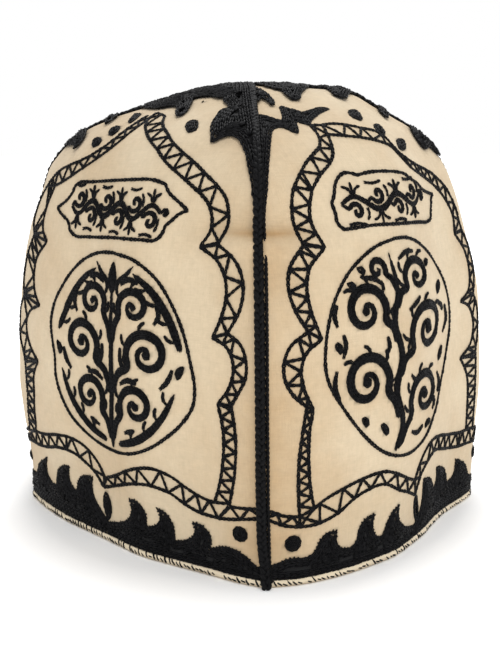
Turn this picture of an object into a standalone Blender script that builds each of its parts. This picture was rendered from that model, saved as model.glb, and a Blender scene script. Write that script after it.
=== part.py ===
"""Four-gore embroidered dervish cap, standing on its rim.

Metres, +Z up. The origin is under the middle of the cap, on the surface that its rim rests on.
The front seam looks along -Y. Azimuths are degrees counter-clockwise from +X, seen from above.
"""

import math

import bmesh
import bpy
from mathutils import Vector

# Driving sizes
RIM_RADIUS = 0.096
CROWN_HEIGHT = 0.1756
CLOTH_THICKNESS = 0.0016
BRAID_WIDTH = 0.0040
BRAID_THICKNESS = 0.0020
BRAID_ROUNDING = 0.0006
BRAID_FOOT = 0.0006
BINDING_HEIGHT = 0.0040
BINDING_THICKNESS = 0.0010
BINDING_ROUNDING = 0.0008
CLEARANCE = 0.0003

# Mesh fineness
GORE_COLUMNS = 16
CROWN_ROWS = 21
SEAM_CROWDING = 0.10
STRIP_COLUMNS = 4

# Seam azimuths in degrees
SEAM_AZIMUTH = {"front": -87.5, "right": 5.0, "back": 90.0, "left": 175.0}

# Seam profiles: height is a share of CROWN_HEIGHT, and each seam's radius is a share of RIM_RADIUS
PROFILE_COLUMNS = ("height", "front", "right", "back", "left")
PROFILE = (
    (0.000, 1.000, 0.985, 1.040, 0.985),
    (0.122, 1.004, 0.998, 1.044, 0.998),
    (0.262, 1.022, 1.015, 1.060, 1.032),
    (0.393, 1.018, 1.011, 1.055, 1.025),
    (0.538, 1.000, 0.988, 1.035, 1.000),
    (0.663, 0.953, 0.927, 0.985, 0.958),
    (0.746, 0.906, 0.882, 0.935, 0.906),
    (0.823, 0.850, 0.821, 0.875, 0.852),
    (0.888, 0.735, 0.715, 0.750, 0.730),
    (0.925, 0.610, 0.610, 0.615, 0.590),
    (0.954, 0.480, 0.520, 0.480, 0.420),
    (0.981, 0.340, 0.425, 0.340, 0.250),
    (0.993, 0.200, 0.270, 0.200, 0.130),
    (1.000, 0.020, 0.020, 0.020, 0.020),
)

# Plan of each gore at the rim: share of the way across, counter-clockwise, and share of the seams' radius
PLAN = {
    "gore_front_right": (
        (0.00, 1.000),
        (0.08, 0.991),
        (0.15, 0.972),
        (0.22, 0.951),
        (0.31, 0.926),
        (0.38, 0.914),
        (0.46, 0.888),
        (0.56, 0.870),
        (0.68, 0.862),
        (0.76, 0.881),
        (0.82, 0.917),
        (0.87, 0.957),
        (0.93, 1.005),
        (1.00, 1.000),
    ),
    "gore_back_right": (
        (0.00, 1.000),
        (0.08, 0.990),
        (0.20, 0.966),
        (0.35, 0.947),
        (0.50, 0.940),
        (0.65, 0.945),
        (0.80, 0.962),
        (0.92, 0.985),
        (1.00, 1.000),
    ),
    "gore_back_left": (
        (0.00, 1.000),
        (0.08, 0.985),
        (0.20, 0.962),
        (0.35, 0.945),
        (0.50, 0.940),
        (0.65, 0.947),
        (0.80, 0.966),
        (0.92, 0.990),
        (1.00, 1.000),
    ),
    "gore_front_left": (
        (0.00, 1.000),
        (0.05, 1.007),
        (0.10, 0.973),
        (0.15, 0.937),
        (0.22, 0.893),
        (0.29, 0.858),
        (0.36, 0.827),
        (0.46, 0.805),
        (0.54, 0.805),
        (0.64, 0.827),
        (0.78, 0.857),
        (0.87, 0.898),
        (0.94, 0.954),
        (1.00, 1.000),
    ),
}
PLAN_LEFT_AT_APEX = 0.6

# Seams on each side of a gore, counter-clockwise
GORE_SEAMS = {
    "gore_front_right": ("front", "right"),
    "gore_back_right": ("right", "back"),
    "gore_back_left": ("back", "left"),
    "gore_front_left": ("left", "front"),
}

# Dents: azimuth, height share, half width in degrees, half height share, depth as a share of RIM_RADIUS
DENTS = (
    (-86.0, 0.712, 11.0, 0.035, 0.013),
    (-106.0, 0.600, 9.0, 0.120, 0.008),
    (-28.0, 0.420, 12.0, 0.200, 0.012),
)

# Rolled binding's skin: side of the cloth (1 outside, -1 inside), whether it is drawn in by the rounding, height
BINDING_SKIN = (
    (1, False, "top"),
    (1, False, "round"),
    (1, True, "foot"),
    (-1, True, "foot"),
    (-1, False, "round"),
    (-1, False, "top"),
)

COTTON = (0.80, 0.70, 0.53, 1.0)
BINDING_COTTON = (0.76, 0.67, 0.52, 1.0)
BLACK_THREAD = (0.012, 0.012, 0.013, 1.0)

HALF_BRAID = BRAID_WIDTH / 2
TIP_RADIUS = HALF_BRAID + 1.5 * CLEARANCE
CLOTH_FOOT = BINDING_THICKNESS + CLEARANCE
AXIS_Y = (PROFILE[0][1] - PROFILE[0][3]) / 2 * RIM_RADIUS


def spline(values, place):
    """Catmull-Rom value at a place counted in steps of the list."""
    last = len(values) - 1
    step = min(int(place), last - 1)
    part = place - step
    before = values[max(step - 1, 0)]
    start, end = values[step], values[step + 1]
    after = values[min(step + 2, last)]
    slope_in = (end - before) / 2
    slope_out = (after - start) / 2
    square, cube = part * part, part**3
    return (
        start * (2 * cube - 3 * square + 1)
        + slope_in * (cube - 2 * square + part)
        + end * (3 * square - 2 * cube)
        + slope_out * (cube - square)
    )


def profile(column, level):
    """One column of PROFILE at a level from 0 at the rim to 1 at the apex."""
    values = [row[PROFILE_COLUMNS.index(column)] for row in PROFILE]
    return spline(values, level * (len(values) - 1))


def height_at(level):
    return max(profile("height", level) * CROWN_HEIGHT, CLOTH_FOOT)


def level_at(height):
    """The level whose height this is, found by halving."""
    low, high = 0.0, 1.0
    for _ in range(40):
        middle = (low + high) / 2
        if profile("height", middle) * CROWN_HEIGHT < height:
            low = middle
        else:
            high = middle
    return (low + high) / 2


def gore_span(gore):
    """Azimuths of a gore's two seams, the second larger than the first."""
    start, end = (SEAM_AZIMUTH[seam] for seam in GORE_SEAMS[gore])
    return start, end if end > start else end + 360.0


def gore_at(azimuth):
    """The gore at an azimuth, and the share of the way across it."""
    for gore in GORE_SEAMS:
        start, end = gore_span(gore)
        across = ((azimuth - start) % 360.0) / (end - start)
        if across < 1.0:
            return gore, across
    raise ValueError(azimuth)


def plan_share(gore, across):
    """Share of the seams' radius that the rim has part of the way across a gore."""
    rows = PLAN[gore]
    for (start, low), (end, high) in zip(rows, rows[1:]):
        if across <= end:
            return low + (high - low) * (across - start) / (end - start)
    return rows[-1][1]


def dent_depth(azimuth, height_share):
    """Depth of the dents at a place, as a share of RIM_RADIUS."""
    total = 0.0
    for middle, height, half_width, half_height, depth in DENTS:
        sideways = (azimuth - middle + 180.0) % 360.0 - 180.0
        reach = (sideways / half_width) ** 2 + ((height_share - height) / half_height) ** 2
        total += depth * math.exp(-reach)
    return total


def direction(azimuth):
    angle = math.radians(azimuth)
    return Vector((math.cos(angle), math.sin(angle), 0.0))


def crown_radius(azimuth, level):
    gore, across = gore_at(azimuth)
    first, second = GORE_SEAMS[gore]
    seams = profile(first, level) * (1 - across) + profile(second, level) * across
    kept = 1 + (PLAN_LEFT_AT_APEX - 1) * level
    share = seams * (1 - (1 - plan_share(gore, across)) * kept)
    share -= dent_depth(azimuth, profile("height", level))
    return max(share * RIM_RADIUS, TIP_RADIUS)


def crown_point(azimuth, level):
    """A point of the cloth's outer face."""
    place = direction(azimuth) * crown_radius(azimuth, level)
    return place + Vector((0.0, AXIS_Y, height_at(level)))


def crowded(share):
    """Draws evenly spaced shares towards the two seams."""
    return share - SEAM_CROWDING * math.sin(2 * math.pi * share)


def crown_levels():
    """Levels of the mesh rows: the binding's hem and the ramp above it, then even steps to the apex."""
    hem = BINDING_HEIGHT + 2 * CLEARANCE
    ramp = hem + BRAID_WIDTH
    low = [0.0, level_at(hem), level_at(ramp)]
    steps = CROWN_ROWS - len(low) + 1
    return low + [low[-1] + (1 - low[-1]) * (i + 1) / steps for i in range(steps)]


LEVELS = crown_levels()


def gore_azimuth(gore, column):
    """Azimuth of a mesh column. A column before 0 or after the last one lies in the next gore."""
    if not 0 <= column <= GORE_COLUMNS:
        start, end = gore_span(gore)
        beyond = crowded(1 / GORE_COLUMNS) * (end - start)
        return start - beyond if column < 0 else end + beyond
    start, end = gore_span(gore)
    return start + crowded(column / GORE_COLUMNS) * (end - start)


def clear_scene():
    for old in list(bpy.data.objects):
        bpy.data.objects.remove(old, do_unlink=True)


def collection(name):
    made = bpy.data.collections.new(name)
    bpy.context.scene.collection.children.link(made)
    return made


def material(name, color, roughness):
    made = bpy.data.materials.new(name)
    made.use_nodes = True
    shader = made.node_tree.nodes["Principled BSDF"]
    shader.inputs["Base Color"].default_value = color
    shader.inputs["Roughness"].default_value = roughness
    shader.inputs["Metallic"].default_value = 0.0
    return made


def sheet(name, columns, rows, place, closed=False):
    """A grid primitive whose points are put at place(column, row)."""
    mesh = bpy.data.meshes.new(name)
    bm = bmesh.new()
    bmesh.ops.create_grid(bm, x_segments=columns, y_segments=rows, size=1.0)
    for point in bm.verts:
        column = round((point.co.x + 1) / 2 * columns)
        row = round((point.co.y + 1) / 2 * rows)
        point.co = place(column, row)
    if closed:
        bmesh.ops.remove_doubles(bm, verts=bm.verts, dist=1e-6)
    bm.to_mesh(mesh)
    bm.free()
    return bpy.data.objects.new(name, mesh)


def thicken(target, thickness, offset):
    """Solidify: offset -1 grows inwards, 1 outwards."""
    wall = target.modifiers.new("wall", "SOLIDIFY")
    wall.thickness = thickness
    wall.offset = offset
    wall.use_even_offset = True
    wall.use_rim = True


def finish(target, group, finish_material):
    target.data.shade_smooth()
    target.data.set_sharp_from_angle(angle=math.radians(35))
    target.data.materials.append(finish_material)
    group.objects.link(target)


def seam_wedge(gore, cutters):
    """The space between a gore's two seam planes, half a clearance inside each."""
    start, end = gore_span(gore)
    half = math.radians((end - start) / 2)
    corner = Vector((0.0, AXIS_Y, 0.0)) + direction((start + end) / 2) * CLEARANCE / 2 / math.sin(half)
    reach = 4 * RIM_RADIUS
    bm = bmesh.new()
    for height in (-CROWN_HEIGHT, 2 * CROWN_HEIGHT):
        for outward in (Vector(), direction(start) * reach, direction(end) * reach):
            bm.verts.new(corner + outward + Vector((0.0, 0.0, height)))
    bmesh.ops.convex_hull(bm, input=bm.verts)
    mesh = bpy.data.meshes.new("wedge_" + gore)
    bm.to_mesh(mesh)
    bm.free()
    wedge = bpy.data.objects.new("wedge_" + gore, mesh)
    wedge.hide_render = True
    wedge.display_type = "WIRE"
    cutters.objects.link(wedge)
    return wedge


def make_gore(gore, group, cutters):
    """One quarter of the crown, reaching a column past each seam and then cut back to the seam planes."""
    cloth = sheet(
        gore,
        GORE_COLUMNS + 2,
        len(LEVELS) - 1,
        lambda column, row: crown_point(gore_azimuth(gore, column - 1), LEVELS[row]),
    )
    thicken(cloth, CLOTH_THICKNESS, -1.0)
    cut = cloth.modifiers.new("seams", "BOOLEAN")
    cut.operation = "INTERSECT"
    cut.solver = "EXACT"
    cut.object = seam_wedge(gore, cutters)
    finish(cloth, group, material("embroidered_cotton_" + gore, COTTON, 0.9))


def rim_ring():
    """Azimuths of the crown's mesh columns all the way round, the first one repeated at the end."""
    ring = [gore_azimuth(gore, column) for gore in GORE_SEAMS for column in range(GORE_COLUMNS)]
    return ring + [ring[0] + 360.0]


def mitres(points):
    """Outward step of each point of a closed plan that moves every side of it by one unit."""
    steps = []
    for index, point in enumerate(points):
        ahead = points[(index + 1) % len(points)] - point
        behind = point - points[index - 1]
        normals = [Vector((side.y, -side.x, 0.0)).normalized() for side in (behind, ahead)]
        steps.append((normals[0] + normals[1]) / (1 + normals[0].dot(normals[1])))
    return steps


def make_binding(group):
    """The rim's rolled binding: a trough that holds the gores' lower edges."""
    ring = rim_ring()
    plan = [crown_point(azimuth, 0.0) for azimuth in ring[:-1]]
    steps = mitres(plan)
    outside = CLEARANCE + BINDING_THICKNESS
    inside = -(CLOTH_THICKNESS + CLEARANCE + BINDING_THICKNESS)
    heights = {"top": BINDING_HEIGHT, "round": BINDING_ROUNDING, "foot": 0.0}

    def place(column, row):
        side, drawn_in, height = BINDING_SKIN[len(BINDING_SKIN) - 1 - row]
        offset = outside if side > 0 else inside
        if drawn_in:
            offset -= side * BINDING_ROUNDING
        point = plan[column % len(plan)] + steps[column % len(plan)] * offset
        return Vector((point.x, point.y, heights[height]))

    skin = sheet("rim_binding", len(plan), len(BINDING_SKIN) - 1, place, closed=True)
    thicken(skin, BINDING_THICKNESS, -1.0)
    finish(skin, group, material("rolled_cotton_binding", BINDING_COTTON, 0.9))


def seam_step(seam, level):
    """Radial and upward parts of the outward normal of a seam's profile at a level."""
    nearby = 0.01
    low, high = max(level - nearby, 0.0), min(level + nearby, 1.0)
    along = (profile(seam, high) - profile(seam, low)) * RIM_RADIUS
    up = (profile("height", high) - profile("height", low)) * CROWN_HEIGHT
    length = math.hypot(along, up)
    return up / length, -along / length


def fold_slope(seam, level, side):
    """How fast the cloth falls away beside a seam, along its first mesh column."""
    index = 0 if side > 0 else 1
    gore = next(name for name, seams in GORE_SEAMS.items() if seams[index] == seam)
    column = 1 if side > 0 else GORE_COLUMNS - 1
    turn = math.radians(abs(gore_azimuth(gore, column) - gore_span(gore)[index]))
    beside = crown_radius(gore_azimuth(gore, column), level)
    ridge = crown_radius(SEAM_AZIMUTH[seam], level)
    return (ridge - beside * math.cos(turn)) / (beside * math.sin(turn))


def braid_point(seam, level, sideways):
    """A point of a braid's underside, sideways from the seam, folded as the cloth is."""
    out, up = seam_step(seam, level)
    over_binding = height_at(level) < BINDING_HEIGHT + BRAID_WIDTH
    lift = 2 * CLEARANCE + BINDING_THICKNESS if over_binding else CLEARANCE
    side = math.copysign(1.0, sideways)
    drop = abs(sideways) * fold_slope(seam, level, side) * out
    radius = crown_radius(SEAM_AZIMUTH[seam], level) + (lift - drop) * out
    height = height_at(level) + (lift - drop) * up
    if level == 0.0:
        height = BRAID_FOOT
    across = direction(SEAM_AZIMUTH[seam] + 90.0) * sideways
    return direction(SEAM_AZIMUTH[seam]) * radius + across + Vector((0.0, AXIS_Y, height))


def make_braid(name, seams, group):
    """A flat braid up one seam, and down the second where there is one."""
    path = [(seams[0], level, 1.0) for level in LEVELS]
    if len(seams) > 1:
        path += [(seams[1], level, -1.0) for level in reversed(LEVELS)]

    def place(column, row):
        seam, level, way = path[row]
        sideways = (column / STRIP_COLUMNS - 0.5) * BRAID_WIDTH * way
        return braid_point(seam, level, sideways)

    strip = sheet(name, STRIP_COLUMNS, len(path) - 1, place)
    thicken(strip, BRAID_THICKNESS, 1.0)
    edge = strip.modifiers.new("rounding", "BEVEL")
    edge.width = min(BRAID_ROUNDING, 0.4 * BRAID_THICKNESS)
    edge.segments = 1
    edge.limit_method = "ANGLE"
    edge.angle_limit = math.radians(60)
    finish(strip, group, material("black_thread_" + name, BLACK_THREAD, 0.8))


def main():
    clear_scene()
    cap = collection("dervish_cap")
    cutters = collection("cutters")
    for gore in GORE_SEAMS:
        make_gore(gore, cap, cutters)
    make_braid("seam_braid_front_back", ("front", "back"), cap)
    make_braid("seam_braid_right", ("right",), cap)
    make_braid("seam_braid_left", ("left",), cap)
    make_binding(cap)


main()
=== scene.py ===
"""Looks of the embroidered four-gore dervish cap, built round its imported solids.

Charts are drawn on a gore laid flat: percent of the way across it, and millimetres up from the rim.
Meshes are in metres, +Z up, with the front seam towards -Y.
"""

import math

import bpy
import numpy as np
from mathutils import Matrix, Vector

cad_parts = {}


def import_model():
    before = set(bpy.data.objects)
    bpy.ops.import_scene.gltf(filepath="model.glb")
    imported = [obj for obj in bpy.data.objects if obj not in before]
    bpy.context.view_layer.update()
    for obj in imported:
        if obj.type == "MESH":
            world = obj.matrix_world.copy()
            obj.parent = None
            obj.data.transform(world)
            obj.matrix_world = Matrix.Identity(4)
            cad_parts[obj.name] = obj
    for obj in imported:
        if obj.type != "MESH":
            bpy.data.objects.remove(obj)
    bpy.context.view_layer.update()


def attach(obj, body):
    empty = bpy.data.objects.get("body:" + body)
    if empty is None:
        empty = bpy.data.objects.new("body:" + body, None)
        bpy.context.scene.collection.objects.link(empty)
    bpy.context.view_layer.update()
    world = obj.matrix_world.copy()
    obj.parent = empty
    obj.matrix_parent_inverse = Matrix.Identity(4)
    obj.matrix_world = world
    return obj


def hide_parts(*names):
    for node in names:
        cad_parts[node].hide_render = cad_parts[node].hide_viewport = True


MM = 0.001

# The cap's form in millimetres and degrees, the same as its solids have
RIM_RADIUS = 96.0
CROWN_HEIGHT = 175.6
SEAM_AZIMUTH = {"front": -87.5, "right": 5.0, "back": 90.0, "left": 175.0}
# Seam profiles: height is a share of CROWN_HEIGHT, and each radius a share of RIM_RADIUS
PROFILE_COLUMNS = ("height", "front", "right", "back", "left")
PROFILE = (
    (0.000, 1.000, 0.985, 1.040, 0.985),
    (0.122, 1.004, 0.998, 1.044, 0.998),
    (0.262, 1.022, 1.015, 1.060, 1.032),
    (0.393, 1.018, 1.011, 1.055, 1.025),
    (0.538, 1.000, 0.988, 1.035, 1.000),
    (0.663, 0.953, 0.927, 0.985, 0.958),
    (0.746, 0.906, 0.882, 0.935, 0.906),
    (0.823, 0.850, 0.821, 0.875, 0.852),
    (0.888, 0.735, 0.715, 0.750, 0.730),
    (0.925, 0.610, 0.610, 0.615, 0.590),
    (0.954, 0.480, 0.520, 0.480, 0.420),
    (0.981, 0.340, 0.425, 0.340, 0.250),
    (0.993, 0.200, 0.270, 0.200, 0.130),
    (1.000, 0.020, 0.020, 0.020, 0.020),
)
# Plan of each gore: share of the way across, counter-clockwise, and share of the seams' radius there
PLAN_ACROSS = {
    "front_right": (0, 0.08, 0.15, 0.22, 0.31, 0.38, 0.46, 0.56, 0.68, 0.76, 0.82, 0.87, 0.93, 1),
    "back_right": (0, 0.08, 0.20, 0.35, 0.50, 0.65, 0.80, 0.92, 1),
    "back_left": (0, 0.08, 0.20, 0.35, 0.50, 0.65, 0.80, 0.92, 1),
    "front_left": (0, 0.05, 0.10, 0.15, 0.22, 0.29, 0.36, 0.46, 0.54, 0.64, 0.78, 0.87, 0.94, 1),
}
PLAN_SHARE = {
    "front_right": (1, 0.991, 0.972, 0.951, 0.926, 0.914, 0.888, 0.870, 0.862, 0.881, 0.917, 0.957, 1.005, 1),
    "back_right": (1, 0.990, 0.966, 0.947, 0.940, 0.945, 0.962, 0.985, 1),
    "back_left": (1, 0.985, 0.962, 0.945, 0.940, 0.947, 0.966, 0.990, 1),
    "front_left": (1, 1.007, 0.973, 0.937, 0.893, 0.858, 0.827, 0.805, 0.805, 0.827, 0.857, 0.898, 0.954, 1),
}
# Share of the plan's flattening that is left at the apex
PLAN_LEFT_AT_APEX = 0.6
# Dents: azimuth, share of the height, half width in degrees, and half height and depth as shares
DENTS = (
    (-86.0, 0.712, 11.0, 0.035, 0.013),
    (-106.0, 0.600, 9.0, 0.120, 0.008),
    (-28.0, 0.420, 12.0, 0.200, 0.012),
)
GORE_SEAMS = {
    "front_right": ("front", "right"),
    "back_right": ("right", "back"),
    "back_left": ("back", "left"),
    "front_left": ("left", "front"),
}
AXIS_Y = (PROFILE[0][1] - PROFILE[0][3]) / 2 * RIM_RADIUS

# Steps of the cloth's mesh across and up
ACROSS_STEPS = 76
UP_STEPS = 118

# The dressed cloth in millimetres: a little thinner than its solid, with the height of each kind of relief
CLOTH_THICKNESS = 1.5
SEAM_GAP = 0.15
SLACK = 0.55
RIPPLE = 0.16
PUCKER = 0.22
CREASE = 1.7


def smooth_curve(places, values, at):
    """A smooth curve through unevenly spaced values, read at any places."""
    places = np.asarray(places, float)
    values = np.asarray(values, float)
    gaps = np.diff(places)
    slopes = np.diff(values) / gaps
    tangents = np.empty_like(values)
    tangents[1:-1] = (slopes[:-1] * gaps[1:] + slopes[1:] * gaps[:-1]) / (gaps[1:] + gaps[:-1])
    tangents[0], tangents[-1] = slopes[0], slopes[-1]
    step = np.clip(np.searchsorted(places, at, "right") - 1, 0, len(places) - 2)
    part = (at - places[step]) / gaps[step]
    rest = 1 - part
    return (
        values[step] * (1 + 2 * part) * rest**2
        + tangents[step] * gaps[step] * part * rest**2
        + values[step + 1] * part**2 * (3 - 2 * part)
        - tangents[step + 1] * gaps[step] * part**2 * rest
    )


def profile(column, level):
    """One column of PROFILE at levels from 0 at the rim to 1 at the apex."""
    values = [row[PROFILE_COLUMNS.index(column)] for row in PROFILE]
    return smooth_curve(range(len(values)), values, np.asarray(level, float) * (len(values) - 1))


def gore_span(gore):
    start, end = (SEAM_AZIMUTH[seam] for seam in GORE_SEAMS[gore])
    return start, end if end > start else end + 360.0


def crown_points(gore, across, level):
    """Points of the cloth's outer face in millimetres."""
    first, second = GORE_SEAMS[gore]
    start, end = gore_span(gore)
    azimuth = start + across * (end - start)
    share = smooth_curve(PLAN_ACROSS[gore], PLAN_SHARE[gore], across)
    seams = profile(first, level) * (1 - across) + profile(second, level) * across
    radius = seams * (1 - (1 - share) * (1 + (PLAN_LEFT_AT_APEX - 1) * level))
    height = profile("height", level)
    for middle, dent_height, half_width, half_height, depth in DENTS:
        sideways = (azimuth - middle + 180.0) % 360.0 - 180.0
        reach = (sideways / half_width) ** 2 + ((height - dent_height) / half_height) ** 2
        radius = radius - depth * np.exp(-reach)
    radius = radius * RIM_RADIUS
    angle = np.radians(azimuth)
    x, y = radius * np.cos(angle), radius * np.sin(angle) + AXIS_Y
    return np.stack([x, y, height * CROWN_HEIGHT + 0 * radius], -1)


def unit(vectors):
    return vectors / np.maximum(np.linalg.norm(vectors, axis=-1, keepdims=True), 1e-9)


def seam_lengths():
    """Levels and the length of the front seam up to each, in millimetres."""
    levels = np.linspace(0, 1, 2001)
    radius = profile("front", levels) * RIM_RADIUS
    height = profile("height", levels) * CROWN_HEIGHT
    return levels, np.concatenate([[0], np.cumsum(np.hypot(np.diff(radius), np.diff(height)))])


LEVELS, SEAM_LENGTHS = seam_lengths()
SEAM_LENGTH = SEAM_LENGTHS[-1]


def wander(seed, x, y, size):
    """Smooth noise from about -1 to 1, made of seven waves with a length of about size."""
    waves = np.random.default_rng(seed)
    total = np.zeros(np.broadcast(x, y).shape)
    for _ in range(7):
        angle = waves.uniform(0, math.pi)
        length = size * waves.uniform(0.7, 1.5)
        phase = waves.uniform(0, 2 * math.pi)
        total += np.sin((x * math.cos(angle) + y * math.sin(angle)) * 2 * math.pi / length + phase)
    return total / 4.5


class Gore:
    """A gore laid flat: its outer face as a grid of points, even across and even up the front seam."""

    def __init__(self, name, seed):
        self.name = name
        levels = np.interp(np.linspace(0, SEAM_LENGTH, UP_STEPS + 1), SEAM_LENGTHS, LEVELS)
        fine = np.linspace(0, 1, 401)
        self.points = np.empty((UP_STEPS + 1, ACROSS_STEPS + 1, 3))
        self.widths = np.empty(UP_STEPS + 1)
        for row, level in enumerate(levels):
            line = crown_points(name, fine, np.full_like(fine, level))
            lengths = np.concatenate([[0], np.cumsum(np.linalg.norm(np.diff(line, axis=0), axis=1))])
            evenly = np.interp(np.linspace(0, lengths[-1], ACROSS_STEPS + 1), lengths, fine)
            self.points[row] = crown_points(name, evenly, np.full_like(evenly, level))
            self.widths[row] = lengths[-1]
        self.normals = self.facing()
        self.soften(seed)
        self.normals = self.facing()

    def facing(self):
        up = np.gradient(self.points, axis=0)
        along = np.gradient(self.points, axis=1)
        normals = unit(np.cross(along, up))
        normals[-1] = (0, 0, 1)
        return normals

    def soften(self, seed):
        """Relief of worn cloth: low waves over the panel, and short ones drawn in along the seams."""
        up = np.linspace(0, SEAM_LENGTH, UP_STEPS + 1)[:, None]
        across = np.linspace(-0.5, 0.5, ACROSS_STEPS + 1)[None, :] * self.widths[:, None]
        from_seam = self.widths[:, None] / 2 - np.abs(across)
        held = np.clip(from_seam / 12, 0, 1) * np.clip(up / 10, 0, 1) * np.clip((SEAM_LENGTH - up) / 20, 0, 1)
        slack = SLACK * wander(seed, across, up, 46) + RIPPLE * wander(seed + 1, across, up, 17)
        puckers = PUCKER * wander(seed + 2, across * 0.35, up, 8.5) * np.exp(-from_seam / 7)
        puckers *= np.clip(from_seam / 2.5, 0, 1)
        calm = 1 - 0.6 * np.clip((up - 140) / 30, 0, 1)
        relief = slack * held * calm + puckers * np.clip(up / 8, 0, 1)
        if "front" in self.name:
            relief += CREASE * self.crease(up, from_seam, across > 0)
        self.points += self.normals * relief[..., None]

    def crease(self, up, from_seam, on_right):
        """A fold drawn in across the front seam: a swelling just under a hollow, fading along the cloth."""
        near = on_right == (self.name == "front_left")
        along = np.exp(-((from_seam - 6) / 16) ** 2) * near
        return along * (np.exp(-(((up - 121) / 4.2) ** 2)) - 0.8 * np.exp(-(((up - 129) / 4.5) ** 2)))

    def width(self, up):
        return np.interp(up, np.linspace(0, SEAM_LENGTH, UP_STEPS + 1), self.widths)

    def flat(self, chart):
        """Chart points, percent across and millimetres up, as flat millimetres from the gore's middle."""
        chart = np.asarray(chart, float)
        return np.stack([(chart[:, 0] / 100 - 0.5) * self.width(chart[:, 1]), chart[:, 1]], -1)

    def on_cloth(self, flat):
        """Places and normals on the cloth of flat points."""
        row = np.clip(flat[:, 1] / SEAM_LENGTH, 0, 1) * UP_STEPS
        column = np.clip(flat[:, 0] / np.maximum(self.width(flat[:, 1]), 0.5) + 0.5, 0, 1) * ACROSS_STEPS
        j = np.minimum(row.astype(int), UP_STEPS - 1)
        i = np.minimum(column.astype(int), ACROSS_STEPS - 1)
        up, along = (row - j)[:, None], (column - i)[:, None]
        found = []
        for grid in (self.points, self.normals):
            low = grid[j, i] * (1 - along) + grid[j, i + 1] * along
            high = grid[j + 1, i] * (1 - along) + grid[j + 1, i + 1] * along
            found.append(low * (1 - up) + high * up)
        return found[0], unit(found[1])


# Ladder bands of the two panels, outer line and inner line in turn.
# Points are percent across and millimetres up, and each inner tuple is one smooth run between corners.
LEFT_LADDERS = (
    (
        ((4, 30), (8, 31.5), (11, 34), (12.8, 41), (14.2, 50), (13.8, 58), (12, 65)),
        ((12, 65), (8.6, 72), (7, 78), (7.4, 84), (11, 91)),
        ((11, 91), (9.4, 96), (9, 101), (9.8, 107), (13.6, 117)),
        ((13.6, 117), (10, 122.5), (8.8, 128), (9.6, 133.5), (12.4, 137.4)),
        (
            (12.4, 137.4), (16.8, 141.8), (21, 145), (26, 147.4), (31, 149.8), (34.6, 152.2), (37.6, 155.8),
            (39.8, 160), (41, 165), (41, 171), (39, 180),
        ),
    ),
    (
        ((16, 33.5), (18, 37), (19, 43), (19.6, 52), (20, 60), (22.5, 66)),
        ((22.5, 66), (17, 71), (14, 76), (13.5, 80.5), (15.4, 84.6), (22.5, 89)),
        ((22.5, 89), (18.6, 94.6), (17.4, 100), (17.8, 106), (23.5, 115.5)),
        ((23.5, 115.5), (19.6, 120), (18.2, 126), (18.2, 132), (20, 138)),
        (
            (20, 138), (24, 139.6), (28, 141.8), (32, 144.6), (36, 147.8), (39.4, 151.4), (42.4, 156),
            (44.6, 161.4), (45.8, 168), (44.6, 178),
        ),
    ),
    (
        (
            (42, 182.4), (48, 181), (52, 179.6), (56, 175.2), (60, 170.8), (65, 166), (70, 160.2),
            (75, 155.4), (80, 150.6), (84, 146), (88, 141.4), (90.6, 137), (91, 131.6), (90.4, 126),
            (89, 121),
        ),
        ((89, 121), (92.4, 117.6), (94.4, 113), (95.2, 108), (94.4, 100), (91, 91)),
        ((91, 91), (94.4, 87.6), (95.8, 82), (95.6, 76), (94, 71), (92, 66)),
        ((92, 66), (92.8, 59), (93.2, 50), (92.8, 42), (91.2, 29)),
    ),
    (
        (
            (44, 177), (50, 170.4), (55, 165.6), (60, 161), (65, 156.8), (70, 151), (76, 145.4), (81, 140.6),
            (85.4, 135), (86.4, 129.4), (86, 124.8), (83.6, 120),
        ),
        ((83.6, 120), (88.2, 115.8), (90.4, 110), (90.6, 102), (89, 95), (87, 89)),
        ((87, 89), (91, 86), (92.6, 80), (91.8, 73), (88.6, 66)),
        ((88.6, 66), (89.8, 58), (89.9, 48), (88.8, 38), (87, 29)),
    ),
    (
        ((0, 28.6), (3, 27.6), (6, 28), (10, 30), (15, 33.6), (20, 34.6), (25, 35.8), (30, 37.6), (36, 39)),
        ((36, 39), (40, 38.6), (44, 37), (47, 34.4), (49, 31.4), (50.6, 26.6)),
        (
            (50.6, 26.6), (55, 29.2), (60, 33), (65, 36), (70, 37.2), (75, 35.4), (80, 31.6), (84, 29.4),
            (87, 28.8),
        ),
        ((91, 28.8), (95, 29), (100, 30)),
    ),
    (
        ((0, 22), (4, 25), (10, 27), (16, 28), (25, 30.3), (30, 32.3), (35, 33)),
        ((35, 33), (39, 32.4), (43, 30.4), (46.6, 27.4), (49.4, 22.4)),
        (
            (49.4, 22.4), (53, 24), (57, 26.2), (62, 28.6), (68, 30), (74, 28.6), (78, 25.8), (82, 23.8),
            (88, 23.2),
        ),
        ((88, 23.2), (94, 24.6), (100, 26.4)),
    ),
)
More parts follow.
